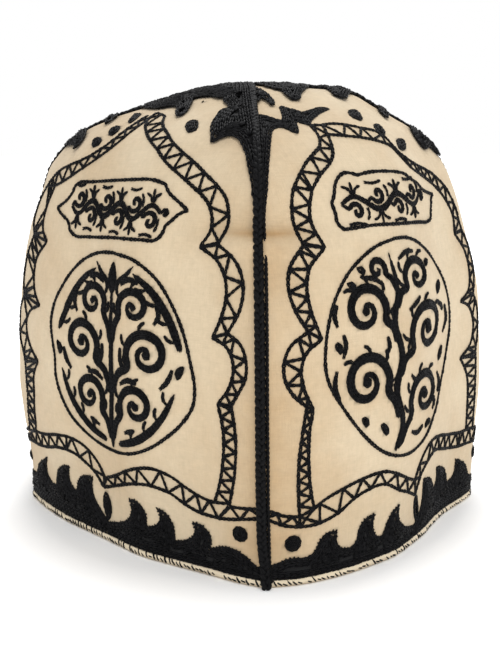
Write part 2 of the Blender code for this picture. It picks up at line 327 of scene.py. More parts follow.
RIGHT_LADDERS = (
    (
        ((8.6, 26), (8.2, 34), (8, 45), (9, 58), (10, 66)),
        ((10, 66), (6.8, 70.4), (4.9, 75.6), (4.6, 81), (6, 87), (10.4, 92)),
        ((10.4, 92), (7.6, 99), (6, 107), (6.6, 114), (10, 121)),
        ((10, 121), (8.6, 128), (8, 135), (8.6, 140.4), (10.6, 145.6)),
        ((10.6, 145.6), (13.6, 151), (17, 155), (20, 158.6), (21, 162.6), (20, 170.6)),
    ),
    (
        ((12.4, 28.4), (11.2, 36), (10.5, 45), (10.5, 56), (11.5, 65)),
        ((11.5, 65), (9.4, 72), (8.7, 78.6), (10, 84.6), (14, 89)),
        ((14, 89), (11.4, 98), (10.5, 106), (11.6, 113.6), (15.8, 120)),
        ((15.8, 120), (13.6, 127), (12.9, 134), (14, 140.4)),
        ((14, 140.4), (17, 145.6), (21, 150), (23.8, 154.8), (24.6, 159), (25, 164.4)),
    ),
    (
        ((20, 170.6), (25, 171), (30, 172.2), (35, 171.8), (40, 170.4), (46, 168.4), (53, 165.8), (56, 161)),
        (
            (56, 161), (57.6, 153.4), (62, 149), (67, 146.8), (73, 144.6), (79, 141.4), (84, 137), (87, 131),
            (88.6, 118),
        ),
        ((88.6, 118), (90.4, 110), (90.2, 102), (87.4, 91)),
        ((87.4, 91), (90, 84), (90.4, 76), (87.6, 66)),
        ((87.6, 66), (87.6, 55), (88.2, 43), (89.4, 31)),
    ),
    (
        ((25, 164.4), (30, 164), (36, 163.4), (43, 161.8), (50, 159.8), (54, 157.4), (56, 152.4)),
        (
            (56, 152.4), (59.4, 146.4), (65, 143.4), (70, 141.4), (76, 137.8), (81, 132.6), (84.2, 124),
            (82.4, 117),
        ),
        ((82.4, 117), (86, 110), (86.6, 102), (84.6, 94), (78.4, 89.6)),
        ((78.4, 89.6), (84, 86), (86.6, 79), (84.6, 71), (77.6, 66)),
        ((77.6, 66), (80.6, 60), (82.6, 48), (84.4, 33.4)),
    ),
    (
        ((0, 29.4), (2, 28.6), (4.4, 27), (8.6, 26)),
        ((12.4, 28.4), (15, 30.8), (20, 33.4), (28, 36), (34, 36), (40, 32.4), (44, 29.4), (48, 27)),
        ((48, 27), (50, 31.4), (52.4, 35.4), (55.4, 38.2), (60, 39), (66, 37.8), (72, 35.6), (80, 33.4)),
        ((80, 33.4), (88, 32.4), (97, 30)),
    ),
    (
        ((0, 26.4), (2, 25), (5, 23.2), (8.6, 22.2)),
        ((8.6, 22.2), (12, 22), (18, 24), (26, 30), (34, 31), (40, 26.4), (44, 24), (49, 20.4)),
        ((49, 20.4), (51, 26), (54, 30), (57.4, 32.6), (61, 33.3), (66, 32), (72, 29.6), (80, 27.3)),
        ((80, 27.3), (88, 26), (98, 24)),
    ),
)

# Solid black shapes, each a closed outline
LEFT_FILLS = {
    "flames_left": (
        (0, 2.1), (0, 8.2), (4, 11), (8, 12.2), (11.4, 12.8), (13, 16), (15.6, 19.4), (18.6, 21.8),
        (21.8, 24.4), (20.4, 20.6), (19.8, 17), (21.2, 14.8), (23.6, 13.6), (25.8, 13.8), (26.6, 17.4),
        (28, 21), (30.6, 24), (34.6, 25.8), (33.6, 22), (33.8, 19), (35.2, 16.6), (36.6, 15.4), (37.4, 19.2),
        (39, 22.4), (41.6, 24.2), (45, 24.8), (43.9, 21), (44.2, 17.2), (45.6, 13.8), (47.6, 11), (50, 8.2),
        (50, 2.1),
    ),
    "flames_right": (
        (50, 2.1), (50, 8.2), (54, 9.4), (57.6, 11.6), (59.8, 14.4), (60.6, 17.6), (59.8, 21.6), (62.6, 21.8),
        (64.6, 20), (65.8, 16.8), (65.6, 12.4), (68, 13.6), (70, 15.8), (70.4, 18.4), (69.4, 21.4),
        (71.8, 20.4), (73.8, 17.6), (74.6, 14), (74.8, 9.8), (78, 11.4), (80.4, 13.8), (81, 16), (80, 19.2),
        (83, 18.6), (85, 16.4), (85.8, 13.6), (85.2, 10.4), (87.4, 11.8), (90.2, 13), (93, 12.6),
        (95.6, 10.8), (98, 7.8), (100, 6.4), (100, 2.1),
    ),
    "drop": (
        (50, 21.6), (48.9, 18.6), (48.5, 15), (48.9, 11.4), (49.8, 8), (51.2, 11), (51.9, 14.8), (51.5, 18.4)
    ),
    "side_tongue_low": (
        (0, 155.6), (0, 164.6), (5, 166.2), (10, 165.6), (15, 163.8), (19, 161), (21.4, 157.6), (23, 153.4),
        (19.6, 155.8), (16, 156.8), (9, 156.4),
    ),
    "side_tongue_high": (
        (0, 174), (0, 178), (5, 179), (10, 178.4), (15, 176), (19, 173.2), (23, 169.8), (17, 172),
        (10, 174.2), (5, 175),
    ),
    "crown": (
        (0, 187), (12, 187), (24, 186.5), (34, 186), (40, 187), (45, 188.4), (50, 187.4), (54, 185.2),
        (58, 181.8), (61, 179), (64, 177.2), (64.4, 180.6), (63, 184.4), (61, 187.8), (58, 191), (54, 193.6),
        (50, 195.4), (53, 197.4), (57, 198), (61, 197.6), (65, 198.6), (70, 197), (75, 195.8), (78.6, 196),
        (79.4, 193), (81.6, 190.8), (84, 189.2), (86.4, 185.2), (83.8, 183.8), (82.4, 181), (82.4, 178),
        (81.8, 174), (82.2, 170), (83, 166), (84.4, 159), (86.6, 161.8), (89, 163.4), (91.4, 163.6),
        (93.6, 161.4), (95.4, 157), (96.6, 151), (97.6, 143), (98.4, 137), (100, 133), (100, 233), (0, 233),
    ),
    "lens_high": (
        (18, 183), (24, 182), (30, 181.4), (34.4, 177.6), (37.6, 172.6), (33.6, 174), (30, 177), (25.4, 180)
    ),
    "lens_middle": (
        (28.4, 169.8), (33, 170.4), (36.4, 168), (37.6, 164), (35.6, 163.4), (33, 164.6), (30.6, 167)
    ),
    "lens_low": ((26.4, 161.8), (30, 162.2), (33.4, 160.6), (34.6, 157.4), (32.4, 156.6), (29.6, 158)),
    "fleck": ((61.6, 194.6), (64.4, 194.4), (67.4, 193), (64, 192.4)),
    "dot_top": (
        (70.2, 173.6), (71.2, 175.8), (73.2, 176), (75, 174), (76.2, 171), (76.6, 168), (75.6, 166),
        (74, 166), (72.2, 168), (70.8, 170.8),
    ),
}
RIGHT_FILLS = {
    "flames_left": (
        (0, 2.1), (0, 6.4), (3, 9), (7, 10.6), (10.4, 10.2), (12.4, 11.4), (14, 15.4), (15.6, 17.6),
        (19, 18.4), (18.6, 14.6), (19.8, 11.4), (22.6, 10.2), (24.6, 11.6), (25.8, 16.6), (27.6, 19.4),
        (30.8, 20.8), (30.2, 16), (31.2, 11.8), (33.6, 10.4), (35, 15), (37, 18.8), (40, 21), (39.6, 16.8),
        (41.4, 12.4), (45, 9.2), (50, 7.4), (50, 2.1),
    ),
    "flames_right": (
        (50, 2.1), (50, 7.4), (51.8, 9.6), (53.2, 12), (54.2, 16), (54.2, 24.8), (57, 23.6), (60.2, 21.6),
        (62.4, 18.6), (64, 15.4), (65.6, 17.4), (66.2, 20), (65.2, 24.4), (68.2, 23.2), (71.2, 21.4),
        (73.4, 18.4), (75, 13.4), (78, 14.4), (79.8, 16.8), (79.6, 21.6), (82.4, 20), (85.2, 18), (87.4, 15),
        (88.6, 11.8), (91.6, 9.6), (95, 8.8), (100, 8.6), (100, 2.1),
    ),
    "drop": (
        (49.4, 21.6), (48.7, 18.6), (49.1, 14.6), (50, 10.6), (51.8, 7), (52.2, 10.4), (51.6, 14.6),
        (50.6, 18.8),
    ),
    "seam_tongue": (
        (0, 190), (0, 214), (2, 210), (4, 206.8), (6, 204.2), (7.2, 200.6), (8.8, 197.6), (9.4, 194),
        (8.4, 185), (7.4, 188.6), (6.4, 191.8), (5.4, 194.2), (4.2, 195.6), (3, 195), (2, 192.8), (1.6, 190),
    ),
    "seam_leaf": (
        (0, 130), (0, 181), (1.8, 179.6), (3.6, 179.4), (5.4, 177.6), (7.6, 176), (9.8, 174.8), (10.4, 178),
        (10.8, 182), (11.4, 189.2), (13.4, 187.8), (15, 186), (17.6, 184.6), (20.6, 181.8), (25, 183.6),
        (30, 186), (34, 187.4), (40, 186), (35, 183.8), (31, 181.6), (27, 178.8), (24, 176), (21.6, 173.4),
        (20.2, 170.2), (17.6, 172), (15.2, 174), (14.8, 169.6), (13.8, 163.8), (11.4, 166.6), (8.8, 169.4),
        (6.6, 169.2), (5, 167.2), (4, 162.8), (3, 155), (2.1, 147), (1.3, 138), (0.8, 130),
    ),
    "crown": (
        (24, 233), (18, 222), (14, 216), (16.4, 212), (15.2, 208), (18.4, 207.8), (19.8, 205.6),
        (18.8, 201.4), (19.2, 197.6), (20.4, 193.8), (23, 194), (25.8, 194.4), (27.4, 198), (30, 200.6),
        (34, 204), (40, 207), (45, 209.4), (50, 211.4), (60, 213.6), (72, 216.6), (86, 218.6), (100, 219.6),
        (100, 233),
    ),
    "side_tongue_top": (
        (100, 202.6), (92, 203), (84, 202), (75, 199), (68, 196), (64.4, 194.4), (61, 196.4), (58.2, 199.8),
        (64, 203), (71, 207), (79, 210.4), (88, 212.4), (100, 212.6),
    ),
    "side_tongue_high": (
        (100, 180), (94, 181.4), (88, 179), (79, 174.2), (83.4, 180.6), (90, 185.6), (95, 187.4), (100, 187)
    ),
    "side_tongue_low": (
        (100, 156), (95, 150.4), (91, 149.6), (88, 155), (80.8, 153.2), (82.4, 159), (86, 164.4), (91, 167.4),
        (96, 167.6), (100, 166),
    ),
    "lens_high": (
        (47.6, 177.4), (49.4, 181.4), (53.4, 184.0), (61.6, 184.6), (58.4, 180), (55, 176.2), (51.6, 174.4)
    ),
    "lens_middle": ((53.4, 163.6), (54.6, 167.6), (58, 170.6), (64.2, 171.2), (61.2, 166.4), (57, 163)),
    "lens_low": ((59.4, 155.0), (62, 158.6), (66.4, 160.6), (72, 160.2), (68, 156.2), (62, 154.4)),
}

# Round dots: percent across, millimetres up, half width and half height in millimetres
LEFT_DOTS = ((94, 19, 3.0, 2.9), (6, 19, 3.0, 2.1))
RIGHT_DOTS = ((7, 16.2, 3.1, 3.0), (93, 20, 3.0, 2.8))

# Outlines of the ovals and of the cartouches above them
LEFT_OVAL = (
    (56, 115.3), (50, 114.6), (44, 111.6), (38.6, 106), (34.4, 99), (31.2, 91.6), (29.9, 85), (31, 78),
    (32.4, 71), (33, 63), (35.4, 55.6), (39.6, 48.4), (45, 43.6), (51, 40.8), (57, 40), (63, 41.2),
    (68.6, 44.6), (74, 50), (79, 57), (82, 64), (82.4, 70), (81, 80), (79, 89.4), (75.2, 100), (70.4, 108.4),
    (64.4, 113.4), (56, 115.3),
)
RIGHT_OVAL = (
    (40, 121), (33.6, 119.4), (27.4, 115.8), (22.4, 110.8), (19, 105), (16.8, 98.6), (15.6, 92), (15, 85),
    (15, 78.6), (16.2, 72), (18.6, 66), (21.6, 59.6), (25.4, 53), (30, 46.8), (35, 42.4), (40, 40.3),
    (45.4, 39.8), (50.6, 41.6), (55, 45.2), (59, 50.4), (63, 58), (66.8, 66), (69.6, 73.4), (71, 80),
    (70.6, 87), (69, 95), (66.2, 103), (62, 110), (57, 115.2), (51.4, 118.8), (46, 120.6), (40, 121),
)
LEFT_CARTOUCHE = (
    ((26, 129.6), (28.4, 131.2), (31.2, 134), (32.8, 136.8)),
    ((32.8, 136.8), (33.2, 139), (35, 140.4), (40, 141), (50, 142.2), (60, 143.2), (68, 143.3), (71.6, 142)),
    ((71.6, 142), (72.8, 139.2), (74.4, 137.4), (76.6, 135.4), (79.2, 132.7)),
    ((79.2, 132.7), (76.6, 131.2), (75.2, 129.2), (73.2, 126.8)),
    (
        (73.2, 126.8), (72.6, 124), (70.8, 121.6), (66, 121.2), (55, 120.8), (44, 119.9), (37.6, 119.8),
        (35, 121.6),
    ),
    ((35, 121.6), (34, 124.4), (32, 125.8), (29, 127.4), (26, 129.6)),
)
RIGHT_CARTOUCHE = (
    ((19.6, 135.4), (20.8, 138.4), (21.4, 141.6), (23, 144.6), (25.6, 146.4), (28, 146.2), (30, 145.2)),
    ((30, 145.2), (35, 146.1), (42, 146.1), (49, 145.2), (53, 144.2), (56, 141.8)),
    ((56, 141.8), (60, 140), (63.4, 137.4), (68, 135.8), (73.4, 134.6)),
    ((73.4, 134.6), (71.2, 133), (69.8, 130.2), (68, 127.6)),
    ((68, 127.6), (67.4, 125.4), (65, 124.6), (56, 125.2), (44, 126), (32, 126.6), (22.4, 125.9)),
    ((22.4, 125.9), (20.6, 128), (20.4, 132), (19.6, 135.4)),
)

# Chain stitches in millimetres, and their height as a share of their width
LINE_WIDTH = 1.3
LINE_STITCH = 1.9
FINE_STITCH = 1.5
THIN_WIDTH = 1.12
EDGE_WIDTH = 0.85
EDGE_SPACING = 1.45
STITCH_HEIGHT = 0.74
# Zigzag steps in the ladder bands. A line that climbs UPRIGHT_CLIMB times its width counts as upright.
LADDER_PITCH_UPRIGHT = 4.9
LADDER_PITCH_SLANTED = 7.6
UPRIGHT_CLIMB = 2.5
# Rows that fill a shape: the first one's distance from the edge, and the height of every second row
FILL_EDGE = 0.42
ROW_PROUD = 0.24
PLAIN_ROWS = {"width": 1.4, "stitch": 2.3, "spacing": 1.26, "lift": 0.0, "bumps": 0.15}
HEAVY_ROWS = {"width": 1.85, "stitch": 2.7, "spacing": 1.6, "lift": 0.75, "bumps": 0.5}
DOT_ROWS = {"width": 1.3, "stitch": 1.5, "spacing": 1.0, "lift": 0.0, "bumps": 0.15}
FINE_ROWS = {"width": 1.1, "stitch": 1.7, "spacing": 0.6, "lift": 0.0, "bumps": 0.15}
# Shapes over the crown, worked in thicker rows
HEAVY_SHAPES = ("crown", "side_tongue_top", "side_tongue_high", "side_tongue_low", "seam_tongue")
# Percent across of a filled edge that runs on under a seam's braid
TUCKED = {0: -1.2, 100: 101.2}
# Cell of the grid that finds a filled shape's rows, in millimetres
GRID_CELL = 0.45
# Sharpest turn in degrees that an outline takes smoothly
TIP_TURN = 48


def run(points, spacing=0.8):
    """A smooth line through chart or flat points, with corners only at its ends."""
    points = np.asarray(points, float)
    if len(points) < 3:
        count = max(int(np.linalg.norm(points[-1] - points[0]) / spacing), 1)
        share = np.linspace(0, 1, count + 1)[:, None]
        return points[0] * (1 - share) + points[-1] * share
    steps = np.concatenate([[0], np.cumsum(np.linalg.norm(np.diff(points, axis=0), axis=1))])
    at = np.linspace(0, steps[-1], max(int(steps[-1] / spacing), 2) + 1)
    return np.stack([smooth_curve(steps, points[:, axis], at) for axis in range(points.shape[1])], -1)


def rounded(gore, chart):
    """A closed chart outline in flat millimetres, smooth between its sharp tips."""
    chart = np.asarray(chart, float)
    fine = []
    for start, end in zip(chart, np.roll(chart, -1, axis=0)):
        steps = max(int(np.abs(end - start).max() / 6), 1)
        fine += [start + (end - start) * step / steps for step in range(steps)]
    flat = gore.flat(fine)
    ahead, behind = unit(np.roll(flat, -1, axis=0) - flat), unit(flat - np.roll(flat, 1, axis=0))
    tips = np.flatnonzero((ahead * behind).sum(1) < math.cos(math.radians(TIP_TURN)))
    if len(tips) == 0:
        tips = np.array([0])
    lines = []
    for start, end in zip(tips, np.append(tips[1:], tips[0] + len(flat))):
        lines.append(run(flat[np.arange(start, end + 1) % len(flat)]))
    return joined(lines)[:-1]


def joined(runs):
    return np.concatenate([runs[0]] + [line[1:] for line in runs[1:]])


def lengths_along(line):
    return np.concatenate([[0], np.cumsum(np.linalg.norm(np.diff(line, axis=0), axis=1))])


def along(line, shares):
    """Points at shares of a line's length."""
    lengths = lengths_along(line)
    at = np.asarray(shares) * lengths[-1]
    return np.stack([np.interp(at, lengths, line[:, axis]) for axis in range(line.shape[1])], -1)


def inside(points, outline):
    """Which points lie within a closed outline."""
    x, y = points[:, 0], points[:, 1]
    hits = np.zeros(len(points), bool)
    for start, end in zip(outline, np.roll(outline, -1, axis=0)):
        if start[1] == end[1]:
            continue
        crosses = (start[1] > y) != (end[1] > y)
        hits ^= crosses & (x < start[0] + (y - start[1]) * (end[0] - start[0]) / (end[1] - start[1]))
    return hits


def depth_inside(points, outline):
    """Distance from each point to a closed outline, positive inside it."""
    nearest = np.full(len(points), 1e9)
    for start, end in zip(outline, np.roll(outline, -1, axis=0)):
        side = end - start
        length = max(side @ side, 1e-9)
        share = np.clip((points - start) @ side / length, 0, 1)
        gap = np.linalg.norm(points - start - share[:, None] * side, axis=1)
        nearest = np.minimum(nearest, gap)
    return np.where(inside(points, outline), nearest, -nearest)


def level_lines(field, level, corner, cell):
    """Closed lines where a field on a square grid passes through a level."""
    above = field > level
    neighbours = {}
    places = {}
    mixed = above[:-1, :-1].astype(int) + above[1:, :-1] + above[:-1, 1:] + above[1:, 1:]
    for j, i in np.argwhere((mixed > 0) & (mixed < 4)):
        crossed = []
        for (j0, i0), (j1, i1) in (
            ((j, i), (j, i + 1)),
            ((j, i + 1), (j + 1, i + 1)),
            ((j + 1, i + 1), (j + 1, i)),
            ((j + 1, i), (j, i)),
        ):
            if above[j0, i0] == above[j1, i1]:
                continue
            key = (min(j0, j1), min(i0, i1), j0 == j1)
            share = (level - field[j0, i0]) / (field[j1, i1] - field[j0, i0])
            right, up = i0 + (i1 - i0) * share, j0 + (j1 - j0) * share
            places[key] = (corner[0] + right * cell, corner[1] + up * cell)
            crossed.append(key)
        for first, second in zip(crossed[::2], crossed[1::2]):
            neighbours.setdefault(first, []).append(second)
            neighbours.setdefault(second, []).append(first)
    lines = []
    while neighbours:
        start = next(iter(neighbours))
        line, here = [], start
        while here is not None:
            line.append(places[here])
            ahead = neighbours.pop(here)
            here = next((key for key in ahead if key in neighbours), None)
        lines.append(np.array(line + line[:1]))
    return lines


class Stitching:
    """Rows of chain stitches on one gore, and the outlines that they fill."""

    def __init__(self, gore):
        self.gore = gore
        self.rows = []
        self.filled = []

    def row(self, flat, width=LINE_WIDTH, stitch=LINE_STITCH, lift=0.0):
        """One row of stitches along flat points. Width may be one number or a number for each point."""
        flat = np.asarray(flat, float)
        length = lengths_along(flat)[-1]
        if len(flat) < 2 or length < 0.5:
            return
        widths = np.broadcast_to(np.asarray(width, float), (len(flat),))
        lifts = np.broadcast_to(np.asarray(lift, float), (len(flat),))
        self.rows.append((flat, widths, min(stitch, 0.98 * length), lifts))

    def outline(self, chart_runs):
        for points in chart_runs:
            self.row(run(self.gore.flat(points)))

    def ladder(self, outer, inner):
        """Two rows, with a zigzag that touches each in turn and starts afresh at every cusp."""
        self.outline(outer)
        self.outline(inner)
        whole = joined([run(self.gore.flat(points)) for points in outer])
        for far_points, near_points in zip(outer, inner):
            far, near = run(self.gore.flat(far_points)), run(self.gore.flat(near_points))
            across, up = np.ptp(near, axis=0)
            pitch = LADDER_PITCH_UPRIGHT if up > UPRIGHT_CLIMB * across else LADDER_PITCH_SLANTED
            count = max(round(lengths_along(near)[-1] / pitch), 1)
            feet = along(near, np.linspace(0, 1, 2 * count + 1))
            for index in range(1, 2 * count, 2):
                feet[index] = whole[np.argmin(np.linalg.norm(whole - feet[index], axis=1))]
            feet = np.concatenate([far[:1], feet])
            for start, end in zip(feet, feet[1:]):
                self.row(run([start, end]), THIN_WIDTH, lift=0.1)

    def fill(self, outline, width, stitch, spacing, lift, bumps):
        """Rows that follow an outline inwards until they meet, laid unevenly by a height of bumps."""
        cell = GRID_CELL
        corner = outline.min(0) - 2 * cell
        count = np.ceil((outline.max(0) + 2 * cell - corner) / cell).astype(int) + 1
        x, y = np.meshgrid(corner[0] + np.arange(count[0]) * cell, corner[1] + np.arange(count[1]) * cell)
        depth = depth_inside(np.stack([x.ravel(), y.ravel()], -1), outline).reshape(x.shape)
        level, edge, proud = FILL_EDGE, True, 0
        while level < depth.max():
            for line in level_lines(depth, level, corner, cell):
                laid = lift + ROW_PROUD * proud + bumps * wander(31, line[:, 0], line[:, 1], 6.0)
                self.row(line, 0.85 * width if edge else width, stitch, lift=laid)
            level += spacing * (0.9 if edge else 1.0)
            edge, proud = False, 1 - proud
        self.filled.append(outline)

    def ragged_edge(self, outline):
        """Short stitches across a filled shape's edge, where the needle went in."""
        closed = np.concatenate([outline, outline[:1]])
        count = int(lengths_along(closed)[-1] / EDGE_SPACING)
        places = along(closed, np.arange(count) / count)
        outward = unit(np.roll(places, -1, axis=0) - np.roll(places, 1, axis=0))[:, ::-1] * (1, -1)
        if depth_inside(places + 0.3 * outward, outline).mean() > 0:
            outward = -outward
        reach = 0.15 + 0.45 * np.random.default_rng(count).random(count)
        for place, way, far in zip(places, outward, reach):
            self.row([place - 1.1 * way, place + far * way], EDGE_WIDTH, lift=0.1)

    def small(self, outline):
        """A small shape filled with fine stitches."""
        self.fill(outline, **FINE_ROWS)

    def brush(self, points, width):
        """A drawn stroke that swells from its start and thins to a tail."""
        line = run(points, 0.7)
        share = lengths_along(line) / lengths_along(line)[-1]
        half = width / 2 * 1.54 * (share + 0.02) ** 0.25 * (1.01 - share) ** 0.4
        ahead = unit(np.gradient(line, axis=0))
        side = np.stack([-ahead[:, 1], ahead[:, 0]], -1) * half[:, None]
        self.small(np.concatenate([line + side, (line - side)[::-1]]))
        self.row(line, np.clip(half, 0.6, 1.0), FINE_STITCH, lift=0.05)

    def cover(self, flat):
        """How far each flat point lies within a filled shape, from 0 to 1."""
        deepest = np.zeros(len(flat))
        for outline in self.filled:
            near = np.all((flat > outline.min(0)) & (flat < outline.max(0)), axis=1)
            if near.any():
                deepest[near] = np.maximum(deepest[near], depth_inside(flat[near], outline))
        return np.clip(deepest / 1.2, 0, 1)


def ellipse(middle, half_width, half_height, count=32):
    angle = np.linspace(0, 2 * np.pi, count, endpoint=False)
    return np.stack([middle[0] + half_width * np.cos(angle), middle[1] + half_height * np.sin(angle)], -1)


def spiral(middle, radius, start, turns):
    """Points of a scroll that winds in clockwise from a bearing in degrees."""
    share = np.linspace(0, 1, int(14 * turns) + 2)
    angle = math.radians(start) - share * turns * 2 * math.pi
    reach = radius * (1 - 0.88 * share)
    return [(middle[0] + r * math.cos(a), middle[1] + r * math.sin(a)) for r, a in zip(reach, angle)]


def leaf(base, tip, width, bend):
    """Outline of a leaf from its base to its tip, bulging width each side and bent sideways."""
    base, tip = np.asarray(base, float), np.asarray(tip, float)
    axis = tip - base
    side = np.array([-axis[1], axis[0]]) / np.linalg.norm(axis)
    share = np.linspace(0, 1, 14)
    spine = base + axis * share[:, None] + side * (bend * np.sin(np.pi * share))[:, None]
    half = width * np.sin(np.pi * share**0.8)
    return np.concatenate([spine + side * half[:, None], (spine - side * half[:, None])[-2:0:-1]])


class Motif:
    """Draws on a stitching about a middle point, mirrored and stretched by two factors."""

    def __init__(self, stitching, middle, mirror=(1, 1)):
        self.stitching = stitching
        self.middle = np.asarray(middle, float)
        self.mirror = np.asarray(mirror, float)

    def put(self, points):
        return np.asarray(points, float) * self.mirror + self.middle

    def brush(self, points, width):
        self.stitching.brush(self.put(points), width)

    def line(self, points, width):
        """Two rows of stitches side by side that thin towards their ends."""
        line = run(self.put(points), 0.6)
        share = lengths_along(line) / lengths_along(line)[-1]
        widths = width * (0.6 + 0.4 * np.sin(np.pi * share))
        ahead = unit(np.gradient(line, axis=0))
        side = np.stack([-ahead[:, 1], ahead[:, 0]], -1) * widths[:, None]
        for way in (0.24, -0.24):
            self.stitching.row(line + way * side, 0.6 * widths, FINE_STITCH, lift=0.1)

    def sprig(self, points):
        """One row of fine stitches."""
        self.stitching.row(run(self.put(points), 0.6), THIN_WIDTH, FINE_STITCH, lift=0.1)

    def thorns(self, points, shares):
        """Small curved thorns from the left side of a stroke, at shares of its points."""
        root, reach = 0.8, 3.4
        line = run(points, 0.7)
        ahead = unit(np.gradient(line, axis=0))
        for share in shares:
            at = int(share * (len(line) - 1))
            out = np.array([-ahead[at, 1], ahead[at, 0]])
            start = line[at] + root * out
            bend = start + reach * (0.62 * out + 0.3 * ahead[at])
            tip = start + reach * (0.9 * out + 1.0 * ahead[at])
            self.line([start, bend, tip], 1.5)

    def leaf(self, base, tip, width, bend):
        self.stitching.small(self.put(leaf(base, tip, width, bend)))

    def dot(self, middle, radius):
        self.stitching.small(self.put(ellipse(middle, radius, radius, count=18)))


def fountain(stitching, middle):
    """Three tiers of mirrored scrolls on a central stem under a palmette, held in by long curved leaves."""
    for side in (1.15, -1.15):
        half = Motif(stitching, middle, (side, 1))
        low = [(0.8, -33), (2.2, -26.4)] + spiral((12.2, -17.8), 7.8, 208, 1.45)
        mid = [(0.6, -15), (3.4, -7)] + spiral((16.4, 2.0), 9.2, 212, 1.55)
        high = [(0.6, 4), (1.8, 11)] + spiral((10.4, 18.8), 7.0, 206, 1.45)
        bottom = [(3.5, -34), (10.4, -31.6), (17.6, -26.6), (23.4, -19.4), (27.6, -10.6)]
        top = [(29.4, 5), (25.8, 13), (21.6, 20), (16.4, 26), (9.6, 31)]
        for points, width in ((low, 3.1), (mid, 3.4), (high, 2.9), (bottom, 3.0), (top, 3.2)):
            half.brush(points, width)
        half.dot((12.2, -17.8), 1.7)
        half.dot((16.4, 2.0), 1.9)
        half.dot((10.4, 18.8), 1.5)
        half.thorns(low, (0.2, 0.34, 0.48))
        half.thorns(mid, (0.1, 0.22, 0.34, 0.46))
        half.thorns(high, (0.24, 0.38, 0.50))
        half.thorns(bottom, (0.2, 0.42, 0.64, 0.86))
        half.thorns(top, (0.12, 0.34, 0.56, 0.78))
        half.leaf((28.4, -5.6), (31.2, 0.8), 1.5, 0.6)
        half.line([(22.0, -9.6), (25.2, -6.0), (26.6, -2.0)], 2.0)
        half.line([(7.6, -6.0), (5.0, -1.6), (4.8, 3.0)], 2.0)
        half.line([(4.6, -10.6), (8.8, -8.4), (12.6, -9.0)], 2.0)
        half.line([(19.0, 13.4), (20.6, 16.8), (19.4, 20.2)], 1.9)
        half.line([(4.4, 26.4), (8.4, 28.8), (12.0, 27.6)], 2.0)
        half.line([(6.8, -28.8), (11.2, -27.0)], 1.8)
        half.brush([(1, 24), (3.4, 27.6), (6.4, 30.0), (9.4, 33.6)], 2.0)
    whole = Motif(stitching, middle)
    whole.brush([(0, -36), (0, -20), (0, 0), (0, 25)], 2.5)
    whole.leaf((0, 22), (0, 35.4), 2.6, 0)


def rinceau(stitching, middle):
    """A vine that climbs in a slow wave and throws a scroll to each side in turn, with leaves between."""
    left, right = Motif(stitching, middle, (-1.04, 1)), Motif(stitching, middle, (1.4, 1))
    right.brush([(-1, -36.6), (1.2, -27), (-1.4, -14), (1.2, -1), (-1.2, 12), (1.2, 23), (0, 36)], 3.0)
    scrolls = (
        (right, [(0, -36), (2.6, -29.6)], (14.6, -19.6), 9.8, 206, 1.5, 3.5),
        (left, [(0.8, -24), (2.8, -17.4)], (15.6, -8.6), 10.8, 206, 1.55, 3.6),
        (right, [(0.6, -9), (2.8, -3)], (16.8, 5.2), 11.0, 208, 1.55, 3.7),
        (left, [(1.0, 4), (2.6, 10)], (14.6, 16.8), 9.8, 206, 1.5, 3.4),
        (right, [(0.8, 16), (2.6, 21.4)], (12.4, 26.0), 7.4, 206, 1.4, 3.1),
        (left, [(-1.0, 22), (1.0, 27.4)], (7.0, 30.8), 4.2, 206, 1.3, 2.4),
    )
    for half, lead, centre, radius, start, turns, width in scrolls:
        points = lead + spiral(centre, radius, start, turns)
        half.brush(points, width)
        half.dot(centre, 0.2 * radius)
        if radius > 5:
            half.thorns(points, (0.12, 0.22, 0.32, 0.42, 0.52))
    for half, base, tip in (
        (right, (27.0, -10.8), (31.0, -4.4)),
        (right, (25.4, 16.0), (28.4, 22.2)),
        (right, (14.6, -33.4), (20.0, -31.0)),
        (right, (18.4, 28.2), (21.8, 31.0)),
        (left, (25.6, 2.4), (29.4, 7.8)),
        (left, (15.4, -25.2), (19.4, -20.2)),
        (left, (5.4, -30.4), (10.8, -23.8)),
        (left, (17.4, 24.4), (22.2, 27.4)),
        (left, (12.4, 29.4), (16.8, 32.2)),
    ):
        half.leaf(base, tip, 1.5, 0.6)
    for half, base, bend, tip in (
        (right, (5.4, -9.8), (8.0, -12.4), (12.0, -12.0)),
        (right, (25.4, -14.4), (26.6, -18.4), (24.8, -22.0)),
        (right, (30.6, 0.0), (32.4, 5.0), (30.8, 11.0)),
        (right, (5.6, 14.4), (9.0, 15.8), (12.4, 18.0)),
        (right, (3.6, 33.4), (8.0, 35.4), (12.4, 35.2)),
        (right, (6.6, -31.8), (10.0, -33.4), (13.4, -31.6)),
        (right, (25.2, 12.8), (27.6, 12.0), (29.2, 9.4)),
        (right, (20.6, -27.6), (21.8, -25.2), (21.2, -22.6)),
        (left, (6.2, -0.2), (4.6, 3.0), (5.4, 6.4)),
        (left, (28.2, -3.0), (29.2, -8.0), (27.6, -13.4)),
        (left, (27.2, 12.4), (28.2, 16.4), (26.8, 20.0)),
        (left, (5.8, 25.4), (9.4, 27.8), (13.4, 28.4)),
        (left, (25.4, 1.2), (24.2, 5.8), (25.0, 9.4)),
    ):
        half.line([base, bend, tip], 1.9)


